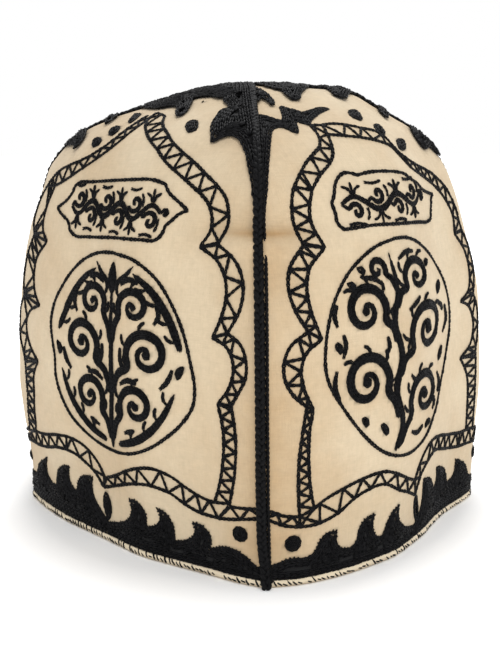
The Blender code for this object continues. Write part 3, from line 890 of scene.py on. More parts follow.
def running_vine(stitching, middle, length, height, waves, tail):
    """A wavy stem along a cartouche: a scroll, two strokes and a three-bladed leaf a bay, and an end curl."""
    whole = Motif(stitching, middle)
    step = length / (2 * waves)
    share = np.linspace(-0.5, 0.5, 12 * waves + 1)
    stem = [(length * s, height * 0.17 * math.sin(2 * math.pi * waves * s)) for s in share]
    whole.line(stem, 2.3)
    # Two strokes and three blades, as shares of half a wave's length and of the vine's height
    sprigs = (
        ((-0.40, -0.50), (-0.04, -0.47), (0.30, -0.52)),
        ((0.46, -0.12), (0.50, -0.27), (0.38, -0.40)),
        ((0.0, 0.22), (0.0, 0.36), (0.0, 0.51)),
        ((-0.05, 0.24), (-0.14, 0.36), (-0.36, 0.42)),
        ((0.05, 0.24), (0.14, 0.36), (0.36, 0.42)),
    )
    for index in range(2 * waves):
        across = step * (index + 0.5) - length / 2
        crest = 1 if math.sin(2 * math.pi * waves * across / length) > 0 else -1
        half = Motif(stitching, np.asarray(middle) + (across, 0), (1, crest))
        scroll = spiral((0.3, -height * 0.19), height * 0.22, 160, 1.2)
        half.line([(-step * 0.5, 0.0)] + scroll, 1.8)
        for sprig in sprigs:
            half.sprig([(step * x, height * y) for x, y in sprig])
    curl = spiral((length / 2 + 1.3 * tail, 0.0), tail, 160, 1.2)
    whole.line([(length / 2, 0.0)] + curl, 1.8)


def panel(gore, ladders, fills, dots, oval, cartouche, ornament, vine):
    """All the embroidery of one gore."""
    stitching = Stitching(gore)
    for outer, inner in zip(ladders[::2], ladders[1::2]):
        stitching.ladder(outer, inner)
    for shape, points in fills.items():
        outline = rounded(gore, [(TUCKED.get(across, across), up) for across, up in points])
        if shape in HEAVY_SHAPES:
            stitching.fill(outline, **HEAVY_ROWS)
        else:
            stitching.fill(outline, **PLAIN_ROWS)
        if shape.startswith("flames"):
            stitching.ragged_edge(outline)
    for across, up, half_width, half_height in dots:
        dot = ellipse(gore.flat([(across, up)])[0], half_width, half_height)
        stitching.fill(dot, **DOT_ROWS)
    stitching.outline([oval])
    stitching.outline(cartouche)
    draw, across, up = ornament
    draw(stitching, gore.flat([(across, up)])[0])
    across, up, length, height, waves, tail = vine
    running_vine(stitching, gore.flat([(across, up)])[0], length, height, waves, tail)
    return stitching


def add(tree, kind, settings=None, inputs=None):
    """Adds a node with its settings, and each input as a value or as the socket that feeds it."""
    made = tree.nodes.new(kind)
    for name, value in (settings or {}).items():
        setattr(made, name, value)
    for key, value in (inputs or {}).items():
        if isinstance(value, bpy.types.NodeSocket):
            tree.links.new(value, made.inputs[key])
        else:
            made.inputs[key].default_value = value
    return made


def srgb(code):
    """An sRGB hex colour as linear red, green, blue and alpha."""
    channels = [int(code[index : index + 2], 16) / 255 for index in (1, 3, 5)]
    return tuple(c / 12.92 if c <= 0.04045 else ((c + 0.055) / 1.055) ** 2.4 for c in channels) + (1.0,)


def new_material(name, roughness):
    """A material with its shader, and its tree."""
    made = bpy.data.materials.new(name)
    made.use_nodes = True
    shader = made.node_tree.nodes["Principled BSDF"]
    shader.inputs["Roughness"].default_value = roughness
    return made, made.node_tree, shader


def cotton_cloth():
    """Unbleached plain-weave cotton: matt cream with thick and thin threads, tanned by handling and stains;
    darker along the seams partly as painted shade, with a painted shade line in the front fold and painted
    shade near black under filled stitching.
    """
    made, tree, shader = new_material("unbleached_plain_weave_cotton", 0.88)
    shader.inputs["Sheen Weight"].default_value = 0.12
    shader.inputs["Sheen Roughness"].default_value = 0.5
    shader.inputs["Specular IOR Level"].default_value = 0.25
    cut = add(tree, "ShaderNodeUVMap", {"uv_map": "flat_cut"})
    place = add(tree, "ShaderNodeTexCoord")
    millimetres = add(
        tree, "ShaderNodeVectorMath", {"operation": "SCALE"}, {0: cut.outputs["UV"], "Scale": 1000.0}
    )
    split = add(tree, "ShaderNodeSeparateXYZ", None, {0: millimetres.outputs[0]})
    # Weave: two threads in each of these lengths, in millimetres
    threads = []
    for axis, pitch in (("X", 0.62), ("Y", 0.55)):
        turns = add(
            tree,
            "ShaderNodeMath",
            {"operation": "MULTIPLY"},
            {0: split.outputs[axis], 1: 2 * math.pi / pitch},
        )
        threads.append(add(tree, "ShaderNodeMath", {"operation": "SINE"}, {0: turns.outputs[0]}))
    weave = add(
        tree,
        "ShaderNodeMath",
        {"operation": "MULTIPLY"},
        {0: threads[0].outputs[0], 1: threads[1].outputs[0]},
    )
    # Thick threads: about 7 mm long and half a millimetre wide, both ways
    slubs = []
    for stretch in ((0.14, 2.3, 1.0), (2.1, 0.16, 1.0)):
        squeezed = add(
            tree, "ShaderNodeVectorMath", {"operation": "MULTIPLY"}, {0: millimetres.outputs[0], 1: stretch}
        )
        slubs.append(
            add(
                tree, "ShaderNodeTexNoise", None, {"Vector": squeezed.outputs[0], "Scale": 1.0, "Detail": 2.0}
            )
        )
    slub = add(
        tree, "ShaderNodeMath", {"operation": "ADD"}, {0: slubs[0].outputs["Fac"], 1: slubs[1].outputs["Fac"]}
    )
    # Faint stains about 40 mm across
    stain = add(
        tree,
        "ShaderNodeTexNoise",
        None,
        {"Vector": place.outputs["Object"], "Scale": 26.0, "Detail": 5.0, "Roughness": 0.6},
    )
    stain_amount = add(
        tree,
        "ShaderNodeMapRange",
        None,
        {"Value": stain.outputs["Fac"], "From Min": 0.4, "From Max": 0.75, "To Max": 0.45},
    )
    # Darker tan along the seams, partly soil and partly painted shade, with a painted shade line across the
    # front fold; added to the stains
    soil_and_shade = add(tree, "ShaderNodeAttribute", {"attribute_name": "seam_soil_and_shade"})
    stain_soil_and_shade = add(
        tree,
        "ShaderNodeMath",
        {"operation": "MULTIPLY_ADD", "use_clamp": True},
        {0: soil_and_shade.outputs["Fac"], 1: 0.6, 2: stain_amount.outputs[0]},
    )
    base = add(
        tree,
        "ShaderNodeMix",
        {"data_type": "RGBA"},
        {"Factor": stain_soil_and_shade.outputs[0], 6: srgb("#C8B79B"), 7: srgb("#A98A62")},
    )
    slub_tone = add(
        tree,
        "ShaderNodeMapRange",
        None,
        {"Value": slub.outputs[0], "From Min": 0.7, "From Max": 1.3, "To Min": 0.955, "To Max": 1.04},
    )
    # Uneven yarn colour, in specks of about 2 mm
    mottle = add(
        tree,
        "ShaderNodeTexNoise",
        None,
        {"Vector": place.outputs["Object"], "Scale": 420.0, "Detail": 3.0, "Roughness": 0.65},
    )
    mottle_tone = add(
        tree,
        "ShaderNodeMapRange",
        None,
        {"Value": mottle.outputs["Fac"], "From Min": 0.3, "From Max": 0.7, "To Min": 0.95, "To Max": 1.045},
    )
    both = add(
        tree,
        "ShaderNodeMath",
        {"operation": "MULTIPLY"},
        {0: slub_tone.outputs[0], 1: mottle_tone.outputs[0]},
    )
    toned = add(
        tree, "ShaderNodeVectorMath", {"operation": "SCALE"}, {0: base.outputs[2], "Scale": both.outputs[0]}
    )
    # Painted shade: near black under filled stitching, for the gaps between its rows
    under = add(tree, "ShaderNodeAttribute", {"attribute_name": "shade_under_stitches"})
    inked = add(
        tree,
        "ShaderNodeMix",
        {"data_type": "RGBA"},
        {"Factor": under.outputs["Fac"], 6: toned.outputs[0], 7: srgb("#141415")},
    )
    tree.links.new(inked.outputs[2], shader.inputs["Base Color"])
    fine = add(tree, "ShaderNodeMath", {"operation": "MULTIPLY"}, {0: weave.outputs[0], 1: 0.28})
    height = add(
        tree,
        "ShaderNodeMath",
        {"operation": "MULTIPLY_ADD"},
        {0: slub.outputs[0], 1: 1.2, 2: fine.outputs[0]},
    )
    bump = add(
        tree, "ShaderNodeBump", None, {"Strength": 0.5, "Distance": 0.00012, "Height": height.outputs[0]}
    )
    tree.links.new(bump.outputs[0], shader.inputs["Normal"])
    return made


def thread_black(name, strand_pitch, dark):
    """Black stranded cotton, dyed and twisted: nearly black, with a dull sheen on its strands' crowns."""
    made, tree, shader = new_material(name, 0.5)
    shader.inputs["Specular IOR Level"].default_value = 0.10
    place = add(tree, "ShaderNodeTexCoord")
    fibres = add(
        tree,
        "ShaderNodeTexNoise",
        None,
        {"Vector": place.outputs["Object"], "Scale": 1000 / strand_pitch, "Detail": 2.0, "Roughness": 0.6},
    )
    stitch = add(tree, "ShaderNodeAttribute", {"attribute_name": "stitch_tone"})
    share = add(
        tree,
        "ShaderNodeMath",
        {"operation": "MULTIPLY_ADD", "use_clamp": True},
        {0: stitch.outputs["Fac"], 1: 0.7, 2: fibres.outputs["Fac"]},
    )
    pale = add(
        tree, "ShaderNodeMath", {"operation": "SUBTRACT", "use_clamp": True}, {0: share.outputs[0], 1: 0.25}
    )
    tone = add(
        tree,
        "ShaderNodeMix",
        {"data_type": "RGBA"},
        {"Factor": pale.outputs[0], 6: srgb(dark), 7: srgb("#161618")},
    )
    tree.links.new(tone.outputs[2], shader.inputs["Base Color"])
    bump = add(
        tree, "ShaderNodeBump", None, {"Strength": 0.7, "Distance": 0.0002, "Height": fibres.outputs["Fac"]}
    )
    tree.links.new(bump.outputs[0], shader.inputs["Normal"])
    return made


def binding_cotton():
    """Cotton rolled on its fold: the same cream cloth, paler above and darker below as painted shade under
    the roll, with grime in patches.
    """
    made, tree, shader = new_material("rolled_cotton_binding", 0.9)
    shader.inputs["Sheen Weight"].default_value = 0.1
    shader.inputs["Specular IOR Level"].default_value = 0.25
    place = add(tree, "ShaderNodeTexCoord")
    split = add(tree, "ShaderNodeSeparateXYZ", None, {0: place.outputs["Object"]})
    # Painted shade: darker towards the bottom of the roll, where it turns under
    height = add(
        tree,
        "ShaderNodeMapRange",
        None,
        {"Value": split.outputs["Z"], "From Min": 0.0002, "From Max": 0.0022},
    )
    # Grime in patches of about 6 mm
    grime = add(
        tree, "ShaderNodeTexNoise", None, {"Vector": place.outputs["Object"], "Scale": 180.0, "Detail": 4.0}
    )
    unshaded_and_clean = add(
        tree,
        "ShaderNodeMath",
        {"operation": "MULTIPLY_ADD", "use_clamp": True},
        {0: height.outputs[0], 1: 0.75, 2: grime.outputs["Fac"]},
    )
    # From the painted shade's brown under the roll to the clean cream above it
    tone = add(
        tree,
        "ShaderNodeMix",
        {"data_type": "RGBA"},
        {"Factor": unshaded_and_clean.outputs[0], 6: srgb("#8F7858"), 7: srgb("#DCCDB2")},
    )
    tree.links.new(tone.outputs[2], shader.inputs["Base Color"])
    bump = add(
        tree, "ShaderNodeBump", None, {"Strength": 0.5, "Distance": 0.0003, "Height": grime.outputs["Fac"]}
    )
    tree.links.new(bump.outputs[0], shader.inputs["Normal"])
    return made


def mesh_object(name, points, faces, material=None, smooth=True):
    """A mesh object from points in metres."""
    mesh = bpy.data.meshes.new(name)
    mesh.from_pydata([tuple(point) for point in points], [], faces)
    mesh.validate()
    if smooth:
        mesh.shade_smooth()
    if material:
        mesh.materials.append(material)
    made = bpy.data.objects.new(name, mesh)
    bpy.context.scene.collection.objects.link(made)
    return made


def number_attribute(mesh, name, values):
    made = mesh.attributes.new(name, "FLOAT", "POINT")
    made.data.foreach_set("value", np.asarray(values, np.float32).ravel())


def vector_attribute(mesh, name, values):
    made = mesh.attributes.new(name, "FLOAT_VECTOR", "POINT")
    made.data.foreach_set("vector", np.asarray(values, np.float32).ravel())


def cloth_gore(gore, stitching, material):
    """A gore's cloth: outer face, inner face and the cut edges between them."""
    rows, columns = UP_STEPS + 1, ACROSS_STEPS + 1
    start, end = gore_span(gore.name)
    inward = -gore.normals.copy()
    for column, azimuth, way in ((0, start, 1.0), (columns - 1, end, -1.0)):
        plane = np.array([-math.sin(math.radians(azimuth)), math.cos(math.radians(azimuth)), 0.0])
        turned = inward[:, column] - (inward[:, column] @ plane)[:, None] * plane
        inward[:, column] = unit(turned)
        gore.points[:, column] += plane * way * SEAM_GAP
    inward[-1] = (0, 0, -1)
    outer = gore.points.reshape(-1, 3)
    inner = (gore.points + inward * CLOTH_THICKNESS).reshape(-1, 3)
    size = rows * columns
    faces = []
    for j in range(rows - 1):
        for i in range(columns - 1):
            a = j * columns + i
            b, c, d = a + 1, a + columns + 1, a + columns
            faces.append((a, b, c, d))
            faces.append((size + d, size + c, size + b, size + a))
    border = [(j * columns + columns - 1, (j + 1) * columns + columns - 1) for j in range(rows - 1)]
    border += [((j + 1) * columns, j * columns) for j in range(rows - 1)]
    border += [(i, i + 1) for i in range(columns - 1)]
    border += [((rows - 1) * columns + i + 1, (rows - 1) * columns + i) for i in range(columns - 1)]
    faces += [(b, a, size + a, size + b) for a, b in border]
    made = mesh_object("cloth_" + gore.name, np.concatenate([outer, inner]) * MM, faces, material)
    up = np.repeat(np.linspace(0, SEAM_LENGTH, rows), columns)
    across = (np.linspace(-0.5, 0.5, columns)[None, :] * gore.widths[:, None]).ravel()
    flat = np.stack([across, up], -1)
    from_seam = np.repeat(gore.widths, columns) / 2 - np.abs(across)
    at_front = (across > 0) == (gore.name in ("front_left", "back_right"))
    # Darker along the seams and lower down: partly soil from handling, partly painted shade where the cloth
    # curves in at the seams
    soil_and_shade = np.exp(-from_seam / 16) * np.clip(1.2 - up / 220, 0, 1) * np.where(at_front, 1.0, 0.35)
    if "front" in gore.name:
        # Painted shade: a thin dark line across the front seam where the cloth folds in
        fold = np.exp(-(((up - 125.5 - 0.06 * from_seam) / 1.7) ** 2) - (from_seam / 13) ** 2)
        soil_and_shade = soil_and_shade + 1.1 * fold * np.where(at_front, 1.0, 0.0)
    number_attribute(made.data, "seam_soil_and_shade", np.tile(soil_and_shade, 2))
    # Painted shade: the cloth turns near black under filled shapes, standing in for shade in the gaps between
    # the rows of stitches
    number_attribute(made.data, "shade_under_stitches", np.tile(stitching.cover(flat), 2))
    layer = made.data.uv_layers.new(name="flat_cut")
    corners = np.empty(len(made.data.loops), np.int32)
    made.data.loops.foreach_get("vertex_index", corners)
    places = np.tile((flat + (80, 0)) * MM, (2, 1))[corners]
    layer.data.foreach_set("uv", places.astype(np.float32).ravel())
    return made


def socket_id(tree, name):
    return next(item.identifier for item in tree.interface.items_tree if item.name == name)


def stitch_tree():
    """Chain stitches along every edge chain of a mesh: each link is two grains side by side."""
    tree = bpy.data.node_groups.new("chain_stitches", "GeometryNodeTree")
    face = tree.interface
    face.new_socket("Geometry", in_out="INPUT", socket_type="NodeSocketGeometry")
    face.new_socket("Height to width", in_out="INPUT", socket_type="NodeSocketFloat")
    face.new_socket("Thread", in_out="INPUT", socket_type="NodeSocketMaterial")
    face.new_socket("Seed", in_out="INPUT", socket_type="NodeSocketInt")
    face.new_socket("Geometry", in_out="OUTPUT", socket_type="NodeSocketGeometry")
    given = add(tree, "NodeGroupInput")
    vector = {"data_type": "FLOAT_VECTOR"}
    normal = add(tree, "GeometryNodeInputNamedAttribute", vector, {"Name": "cloth_normal"})
    width = add(tree, "GeometryNodeInputNamedAttribute", {"data_type": "FLOAT"}, {"Name": "row_width"})
    length = add(tree, "GeometryNodeInputNamedAttribute", {"data_type": "FLOAT"}, {"Name": "stitch_length"})
    rows = add(tree, "GeometryNodeMeshToCurve", None, {"Mesh": given.outputs["Geometry"]})
    even = add(
        tree,
        "GeometryNodeResampleCurve",
        {"mode": "LENGTH"},
        {"Curve": rows.outputs[0], "Length": length.outputs["Attribute"]},
    )
    here = add(tree, "GeometryNodeInputPosition")
    index = add(tree, "GeometryNodeInputIndex")
    step = add(tree, "GeometryNodeOffsetPointInCurve", None, {"Point Index": index.outputs[0], "Offset": 1})
    ahead = add(
        tree,
        "GeometryNodeFieldAtIndex",
        vector,
        {"Index": step.outputs["Point Index"], "Value": here.outputs[0]},
    )
    chord = add(
        tree, "ShaderNodeVectorMath", {"operation": "SUBTRACT"}, {0: ahead.outputs[0], 1: here.outputs[0]}
    )
    reach = add(tree, "ShaderNodeVectorMath", {"operation": "LENGTH"}, {0: chord.outputs[0]})
    facing = add(
        tree,
        "FunctionNodeAxesToRotation",
        {"primary_axis": "X", "secondary_axis": "Z"},
        {"Primary Axis": chord.outputs[0], "Secondary Axis": normal.outputs["Attribute"]},
    )
    jitter = add(
        tree,
        "FunctionNodeRandomValue",
        {"data_type": "FLOAT"},
        {2: 0.86, 3: 1.14, "Seed": given.outputs["Seed"]},
    )
    jittered = add(
        tree,
        "ShaderNodeMath",
        {"operation": "MULTIPLY"},
        {0: width.outputs["Attribute"], 1: jitter.outputs[1]},
    )
    thick = add(
        tree,
        "ShaderNodeMath",
        {"operation": "MULTIPLY"},
        {0: jittered.outputs[0], 1: given.outputs["Height to width"]},
    )
    size = add(
        tree,
        "ShaderNodeCombineXYZ",
        None,
        {"X": reach.outputs["Value"], "Y": jittered.outputs[0], "Z": thick.outputs[0]},
    )
    grains = []
    for side in (-1, 1):
        bead = add(tree, "GeometryNodeMeshUVSphere", None, {"Segments": 4, "Rings": 3, "Radius": 0.5})
        laid = add(
            tree,
            "GeometryNodeTransform",
            None,
            {"Geometry": bead.outputs[0], "Rotation": (0, math.radians(90), 0), "Scale": (1.0, 0.62, 1.42)},
        )
        turned = add(
            tree,
            "GeometryNodeTransform",
            None,
            {
                "Geometry": laid.outputs[0],
                "Translation": (0.5, 0.25 * side, 0.22),
                "Rotation": (0, 0, math.radians(-13 * side)),
            },
        )
        grains.append(turned)
    link = add(tree, "GeometryNodeJoinGeometry")
    for grain in grains:
        tree.links.new(grain.outputs[0], link.inputs[0])
    ends = add(tree, "GeometryNodeCurveEndpointSelection", None, {"Start Size": 0, "End Size": 1})
    kept = add(tree, "FunctionNodeBooleanMath", {"operation": "NOT"}, {0: ends.outputs[0]})
    stitches = add(
        tree,
        "GeometryNodeInstanceOnPoints",
        None,
        {
            "Points": even.outputs[0],
            "Selection": kept.outputs[0],
            "Instance": link.outputs[0],
            "Rotation": facing.outputs[0],
            "Scale": size.outputs[0],
        },
    )
    tone = add(
        tree,
        "FunctionNodeRandomValue",
        {"data_type": "FLOAT"},
        {2: 0.0, 3: 1.0, "Seed": given.outputs["Seed"]},
    )
    toned = add(
        tree,
        "GeometryNodeStoreNamedAttribute",
        {"data_type": "FLOAT", "domain": "INSTANCE"},
        {"Geometry": stitches.outputs[0], "Name": "stitch_tone", "Value": tone.outputs[1]},
    )
    whole = add(tree, "GeometryNodeRealizeInstances", None, {"Geometry": toned.outputs[0]})
    soft = add(tree, "GeometryNodeSetShadeSmooth", None, {"Geometry": whole.outputs[0]})
    inked = add(
        tree,
        "GeometryNodeSetMaterial",
        None,
        {"Geometry": soft.outputs[0], "Material": given.outputs["Thread"]},
    )
    add(tree, "NodeGroupOutput", None, {"Geometry": inked.outputs[0]})
    return tree


def whip_tree():
    """Whip stitches over a rolled edge: bent bars spaced along a line, leaning the way they were sewn."""
    tree = bpy.data.node_groups.new("whip_stitches", "GeometryNodeTree")
    face = tree.interface
    face.new_socket("Geometry", in_out="INPUT", socket_type="NodeSocketGeometry")
    for name in ("Spacing", "Roll radius", "Thread radius", "Start", "Sweep", "Lean"):
        face.new_socket(name, in_out="INPUT", socket_type="NodeSocketFloat")
    face.new_socket("Thread", in_out="INPUT", socket_type="NodeSocketMaterial")
    face.new_socket("Seed", in_out="INPUT", socket_type="NodeSocketInt")
    face.new_socket("Geometry", in_out="OUTPUT", socket_type="NodeSocketGeometry")
    given = add(tree, "NodeGroupInput")
    normal = add(
        tree, "GeometryNodeInputNamedAttribute", {"data_type": "FLOAT_VECTOR"}, {"Name": "cloth_normal"}
    )
    rim = add(tree, "GeometryNodeMeshToCurve", None, {"Mesh": given.outputs["Geometry"]})
    even = add(
        tree,
        "GeometryNodeResampleCurve",
        {"mode": "LENGTH"},
        {"Curve": rim.outputs[0], "Length": given.outputs["Spacing"]},
    )
    tangent = add(tree, "GeometryNodeInputTangent")
    facing = add(
        tree,
        "FunctionNodeAxesToRotation",
        {"primary_axis": "X", "secondary_axis": "Y"},
        {"Primary Axis": normal.outputs["Attribute"], "Secondary Axis": tangent.outputs[0]},
    )
    bend = add(
        tree,
        "GeometryNodeCurveArc",
        None,
        {
            "Resolution": 6,
            "Radius": given.outputs["Roll radius"],
            "Start Angle": given.outputs["Start"],
            "Sweep Angle": given.outputs["Sweep"],
        },
    )
    upright = add(
        tree,
        "GeometryNodeTransform",
        None,
        {"Geometry": bend.outputs[0], "Rotation": (math.radians(90), 0, 0)},
    )
    lean = add(tree, "ShaderNodeCombineXYZ", None, {"X": given.outputs["Lean"]})
    leaning = add(
        tree, "GeometryNodeTransform", None, {"Geometry": upright.outputs[0], "Rotation": lean.outputs[0]}
    )
    ring = add(
        tree,
        "GeometryNodeCurvePrimitiveCircle",
        None,
        {"Resolution": 5, "Radius": given.outputs["Thread radius"]},
    )
    bar = add(
        tree,
        "GeometryNodeCurveToMesh",
        None,
        {"Curve": leaning.outputs[0], "Profile Curve": ring.outputs[0], "Fill Caps": True},
    )
    jitter = add(
        tree,
        "FunctionNodeRandomValue",
        {"data_type": "FLOAT"},
        {2: 0.94, 3: 1.05, "Seed": given.outputs["Seed"]},
    )
    turned = add(
        tree,
        "FunctionNodeRandomValue",
        {"data_type": "FLOAT_VECTOR"},
        {0: (-0.5, 0.0, -0.12), 1: (0.5, 0.25, 0.12), "Seed": given.outputs["Seed"]},
    )
    turn = add(tree, "FunctionNodeEulerToRotation", None, {0: turned.outputs[0]})
    placed = add(
        tree,
        "FunctionNodeRotateRotation",
        {"rotation_space": "LOCAL"},
        {0: facing.outputs[0], 1: turn.outputs[0]},
    )
    kept = add(
        tree,
        "FunctionNodeRandomValue",
        {"data_type": "BOOLEAN"},
        {"Probability": 0.88, "Seed": given.outputs["Seed"]},
    )
    stitches = add(
        tree,
        "GeometryNodeInstanceOnPoints",
        None,
        {
            "Points": even.outputs[0],
            "Selection": kept.outputs[3],
            "Instance": bar.outputs[0],
            "Rotation": placed.outputs[0],
            "Scale": jitter.outputs[1],
        },
    )
    whole = add(tree, "GeometryNodeRealizeInstances", None, {"Geometry": stitches.outputs[0]})
    soft = add(tree, "GeometryNodeSetShadeSmooth", None, {"Geometry": whole.outputs[0]})
    inked = add(
        tree,
        "GeometryNodeSetMaterial",
        None,
        {"Geometry": soft.outputs[0], "Material": given.outputs["Thread"]},
    )
    add(tree, "NodeGroupOutput", None, {"Geometry": inked.outputs[0]})
    return tree


def grown(target, tree, values):
    """Runs a tree on an object with its inputs set, and leaves the result as the object's own mesh."""
    modifier = target.modifiers.new(tree.name, "NODES")
    modifier.node_group = tree
    for name, value in values.items():
        modifier[socket_id(tree, name)] = value
    target.update_tag()
    graph = bpy.context.evaluated_depsgraph_get()
    made = bpy.data.meshes.new_from_object(target.evaluated_get(graph))
    target.modifiers.clear()
    target.data = made
    return target


def lines_object(name, lines):
    """A mesh of edge chains in metres, each with its normals, widths and stitch length."""
    points, normals, widths, stitches, edges = [], [], [], [], []
    for place, normal, width, stitch in lines:
        first = sum(len(part) for part in points)
        points.append(place)
        normals.append(normal)
        widths.append(width * MM)
        stitches.append(np.full(len(place), stitch * MM))
        edges += [(first + index, first + index + 1) for index in range(len(place) - 1)]
    mesh = bpy.data.meshes.new(name)
    mesh.from_pydata([tuple(point) for point in np.concatenate(points) * MM], edges, [])
    vector_attribute(mesh, "cloth_normal", np.concatenate(normals))
    number_attribute(mesh, "row_width", np.concatenate(widths))
    number_attribute(mesh, "stitch_length", np.concatenate(stitches))
    made = bpy.data.objects.new(name, mesh)
    bpy.context.scene.collection.objects.link(made)
    return made


def embroidery(gore, stitching, tree, thread, seed):
    """A gore's stitches as one mesh."""
    lines = []
    for flat, widths, stitch, lift in stitching.rows:
        place, normal = gore.on_cloth(flat)
        lines.append((place + normal * lift[:, None], normal, widths, stitch))
    made = lines_object("embroidery_" + gore.name, lines)
    return grown(made, tree, {"Height to width": STITCH_HEIGHT, "Thread": thread, "Seed": seed})


def tube(path, normals, half_width, half_height, sides=6):
    """Points and faces of a strand with an oval section along a path."""
    tangent = unit(np.gradient(path, axis=0))
    side = unit(np.cross(tangent, normals))
    out = np.cross(side, tangent)
    angle = np.linspace(0, 2 * np.pi, sides, endpoint=False)
    ring = (
        path[:, None]
        + side[:, None] * (half_width * np.cos(angle))[None, :, None]
        + out[:, None] * (half_height * np.sin(angle))[None, :, None]
    )
    points = ring.reshape(-1, 3)
    faces = []
    count = len(path)
    for j in range(count - 1):
        for i in range(sides):
            a, b = j * sides + i, j * sides + (i + 1) % sides
            faces.append((a, b, b + sides, a + sides))
    faces.append(tuple(range(sides))[::-1])
    faces.append(tuple((count - 1) * sides + i for i in range(sides)))
    return points, faces


# Braids in millimetres: how far a strand sways aside and rises over the next, and how much less at the apex
BRAID_SWAY = 1.05
BRAID_RISE = 0.52
BRAID_PITCH = 7.4
BRAID_POINTS = 0.62
BRAID_NARROWING = 0.42
STRAND_HALF_WIDTH = 0.92
STRAND_HALF_HEIGHT = 0.76
# The thin cord in millimetres
CORD_STRAND_HALF = 0.416
CORD_TWIST = 0.26
CORD_PITCH = 3.4
CORD_LIFT = 0.35
# The binding in millimetres
BINDING_TOP = 3.0
BINDING_PROUD = 1.1
BINDING_POINTS = 1.6
BINDING_SIDES = 14
# Sideways drift of the front braid and of the thin cord beside it, by length from the rim
FRONT_DRIFT = (
    (0, 0.9), (6, 0.5), (18, -0.7), (40, -1.2), (120, -1.4), (150, -1.0), (180, -0.9), (215, 0), (240, 0)
)
CORD_DRIFT = ((2, 2.7), (10, 2.0), (30, 1.5), (60, 1.2), (115, 1.15), (128, 0.75), (150, 0.6))


def seam_path(seam):
    """A seam's ridge from the rim to the apex every BRAID_POINTS: places and outward normals."""
    fine = np.linspace(0, 1, 3001)
    radius = profile(seam, fine) * RIM_RADIUS
    height = profile("height", fine) * CROWN_HEIGHT
    for middle, dent_height, half_width, half_height, depth in DENTS:
        sideways = (SEAM_AZIMUTH[seam] - middle + 180.0) % 360.0 - 180.0
        reach = (sideways / half_width) ** 2 + ((height / CROWN_HEIGHT - dent_height) / half_height) ** 2
        radius = radius - depth * RIM_RADIUS * np.exp(-reach)
    lengths = np.concatenate([[0], np.cumsum(np.hypot(np.diff(radius), np.diff(height)))])
    at = np.linspace(0, lengths[-1], int(lengths[-1] / BRAID_POINTS))
    radius, height = np.interp(at, lengths, radius), np.interp(at, lengths, height)
    climb, outward = np.gradient(height), np.gradient(radius)
    steep = np.hypot(climb, outward)
    angle = math.radians(SEAM_AZIMUTH[seam])
    radial = np.array([math.cos(angle), math.sin(angle), 0.0])
    normals = radial * (climb / steep)[:, None] - np.array([0, 0, 1.0]) * (outward / steep)[:, None]
    over_binding = 1 - np.clip((height - BINDING_TOP + 0.6) / 3.0, 0, 1)
    over_binding = over_binding**2 * (3 - 2 * over_binding)
    places = radial * radius[:, None] + np.array([0, AXIS_Y, 0]) + np.array([0, 0, 1.0]) * height[:, None]
    places = places + normals * (BINDING_PROUD * over_binding)[:, None]
    return places, unit(normals)


def drifted(places, normals, drift):
    """A path moved sideways by a table of length and distance."""
    side = unit(np.cross(unit(np.gradient(places, axis=0)), normals))
    table = np.array(drift, float)
    aside = np.interp(lengths_along(places), table[:, 0], table[:, 1])
    return places + side * aside[:, None]


def plait(name, places, normals, thread, seed):
    """Three strands that cross over and under each other along a path."""
    lengths = lengths_along(places)
    side = unit(np.cross(unit(np.gradient(places, axis=0)), normals))
    points, faces = [], []
    for strand in range(3):
        uneven = 0.5 * wander(seed + strand, lengths, 0 * lengths, 19)
        phase = 2 * math.pi * ((lengths + uneven) / BRAID_PITCH + strand / 3)
        narrowed = 1 - BRAID_NARROWING * np.clip(normals[:, 2], 0, 1) ** 2
        sway = BRAID_SWAY * narrowed * np.sin(phase)
        rise = STRAND_HALF_HEIGHT * 1.1 * narrowed + BRAID_RISE * np.sin(2 * phase)
        rise = rise + 0.16 * wander(seed + 9, lengths, 0 * lengths, 5)
        path = places + side * sway[:, None] + normals * rise[:, None]
        path[:, 2] = np.maximum(path[:, 2], STRAND_HALF_HEIGHT + 0.1)
        more, walls = tube(path, normals, STRAND_HALF_WIDTH, STRAND_HALF_HEIGHT)
        faces += [tuple(len(points) + index for index in wall) for wall in walls]
        points += list(more)
    return mesh_object(name, np.array(points) * MM, faces, thread)


def front_cord(places, normals, thread):
    """The thin cord sewn down beside the front braid: two twisted strands."""
    table = np.array(CORD_DRIFT, float)
    lengths = lengths_along(places)
    kept = (lengths > table[0, 0]) & (lengths < table[-1, 0])
    centre = drifted(places, normals, CORD_DRIFT)[kept] + CORD_LIFT * normals[kept]
    normals, lengths = normals[kept], lengths[kept]
    side = unit(np.cross(unit(np.gradient(centre, axis=0)), normals))
    points, faces = [], []
    for strand in range(2):
        phase = 2 * math.pi * (lengths / CORD_PITCH + strand / 2)
        twist = side * np.cos(phase)[:, None] + normals * np.sin(phase)[:, None]
        more, walls = tube(centre + CORD_TWIST * twist, normals, CORD_STRAND_HALF, CORD_STRAND_HALF)
        faces += [tuple(len(points) + index for index in wall) for wall in walls]
        points += list(more)
    return mesh_object("thin_cord_front", np.array(points) * MM, faces, thread)


def rim_line():
    """The rim's plan all the way round, and its outward directions."""
    points = []
    for gore in GORE_SEAMS:
        across = np.linspace(0, 1, 90)[:-1]
        points.append(crown_points(gore, across, np.zeros_like(across)))
    plan = np.concatenate(points)
    plan[:, 2] = 0
    closed = np.concatenate([plan, plan[:1]])
    lengths = lengths_along(closed)
    at = np.linspace(0, lengths[-1], int(lengths[-1] / BINDING_POINTS) + 1)[:-1]
    plan = np.stack([np.interp(at, lengths, closed[:, axis]) for axis in range(3)], -1)
    ahead = unit(np.roll(plan, -1, axis=0) - np.roll(plan, 1, axis=0))
    return plan, np.stack([ahead[:, 1], -ahead[:, 0], np.zeros(len(plan))], -1)


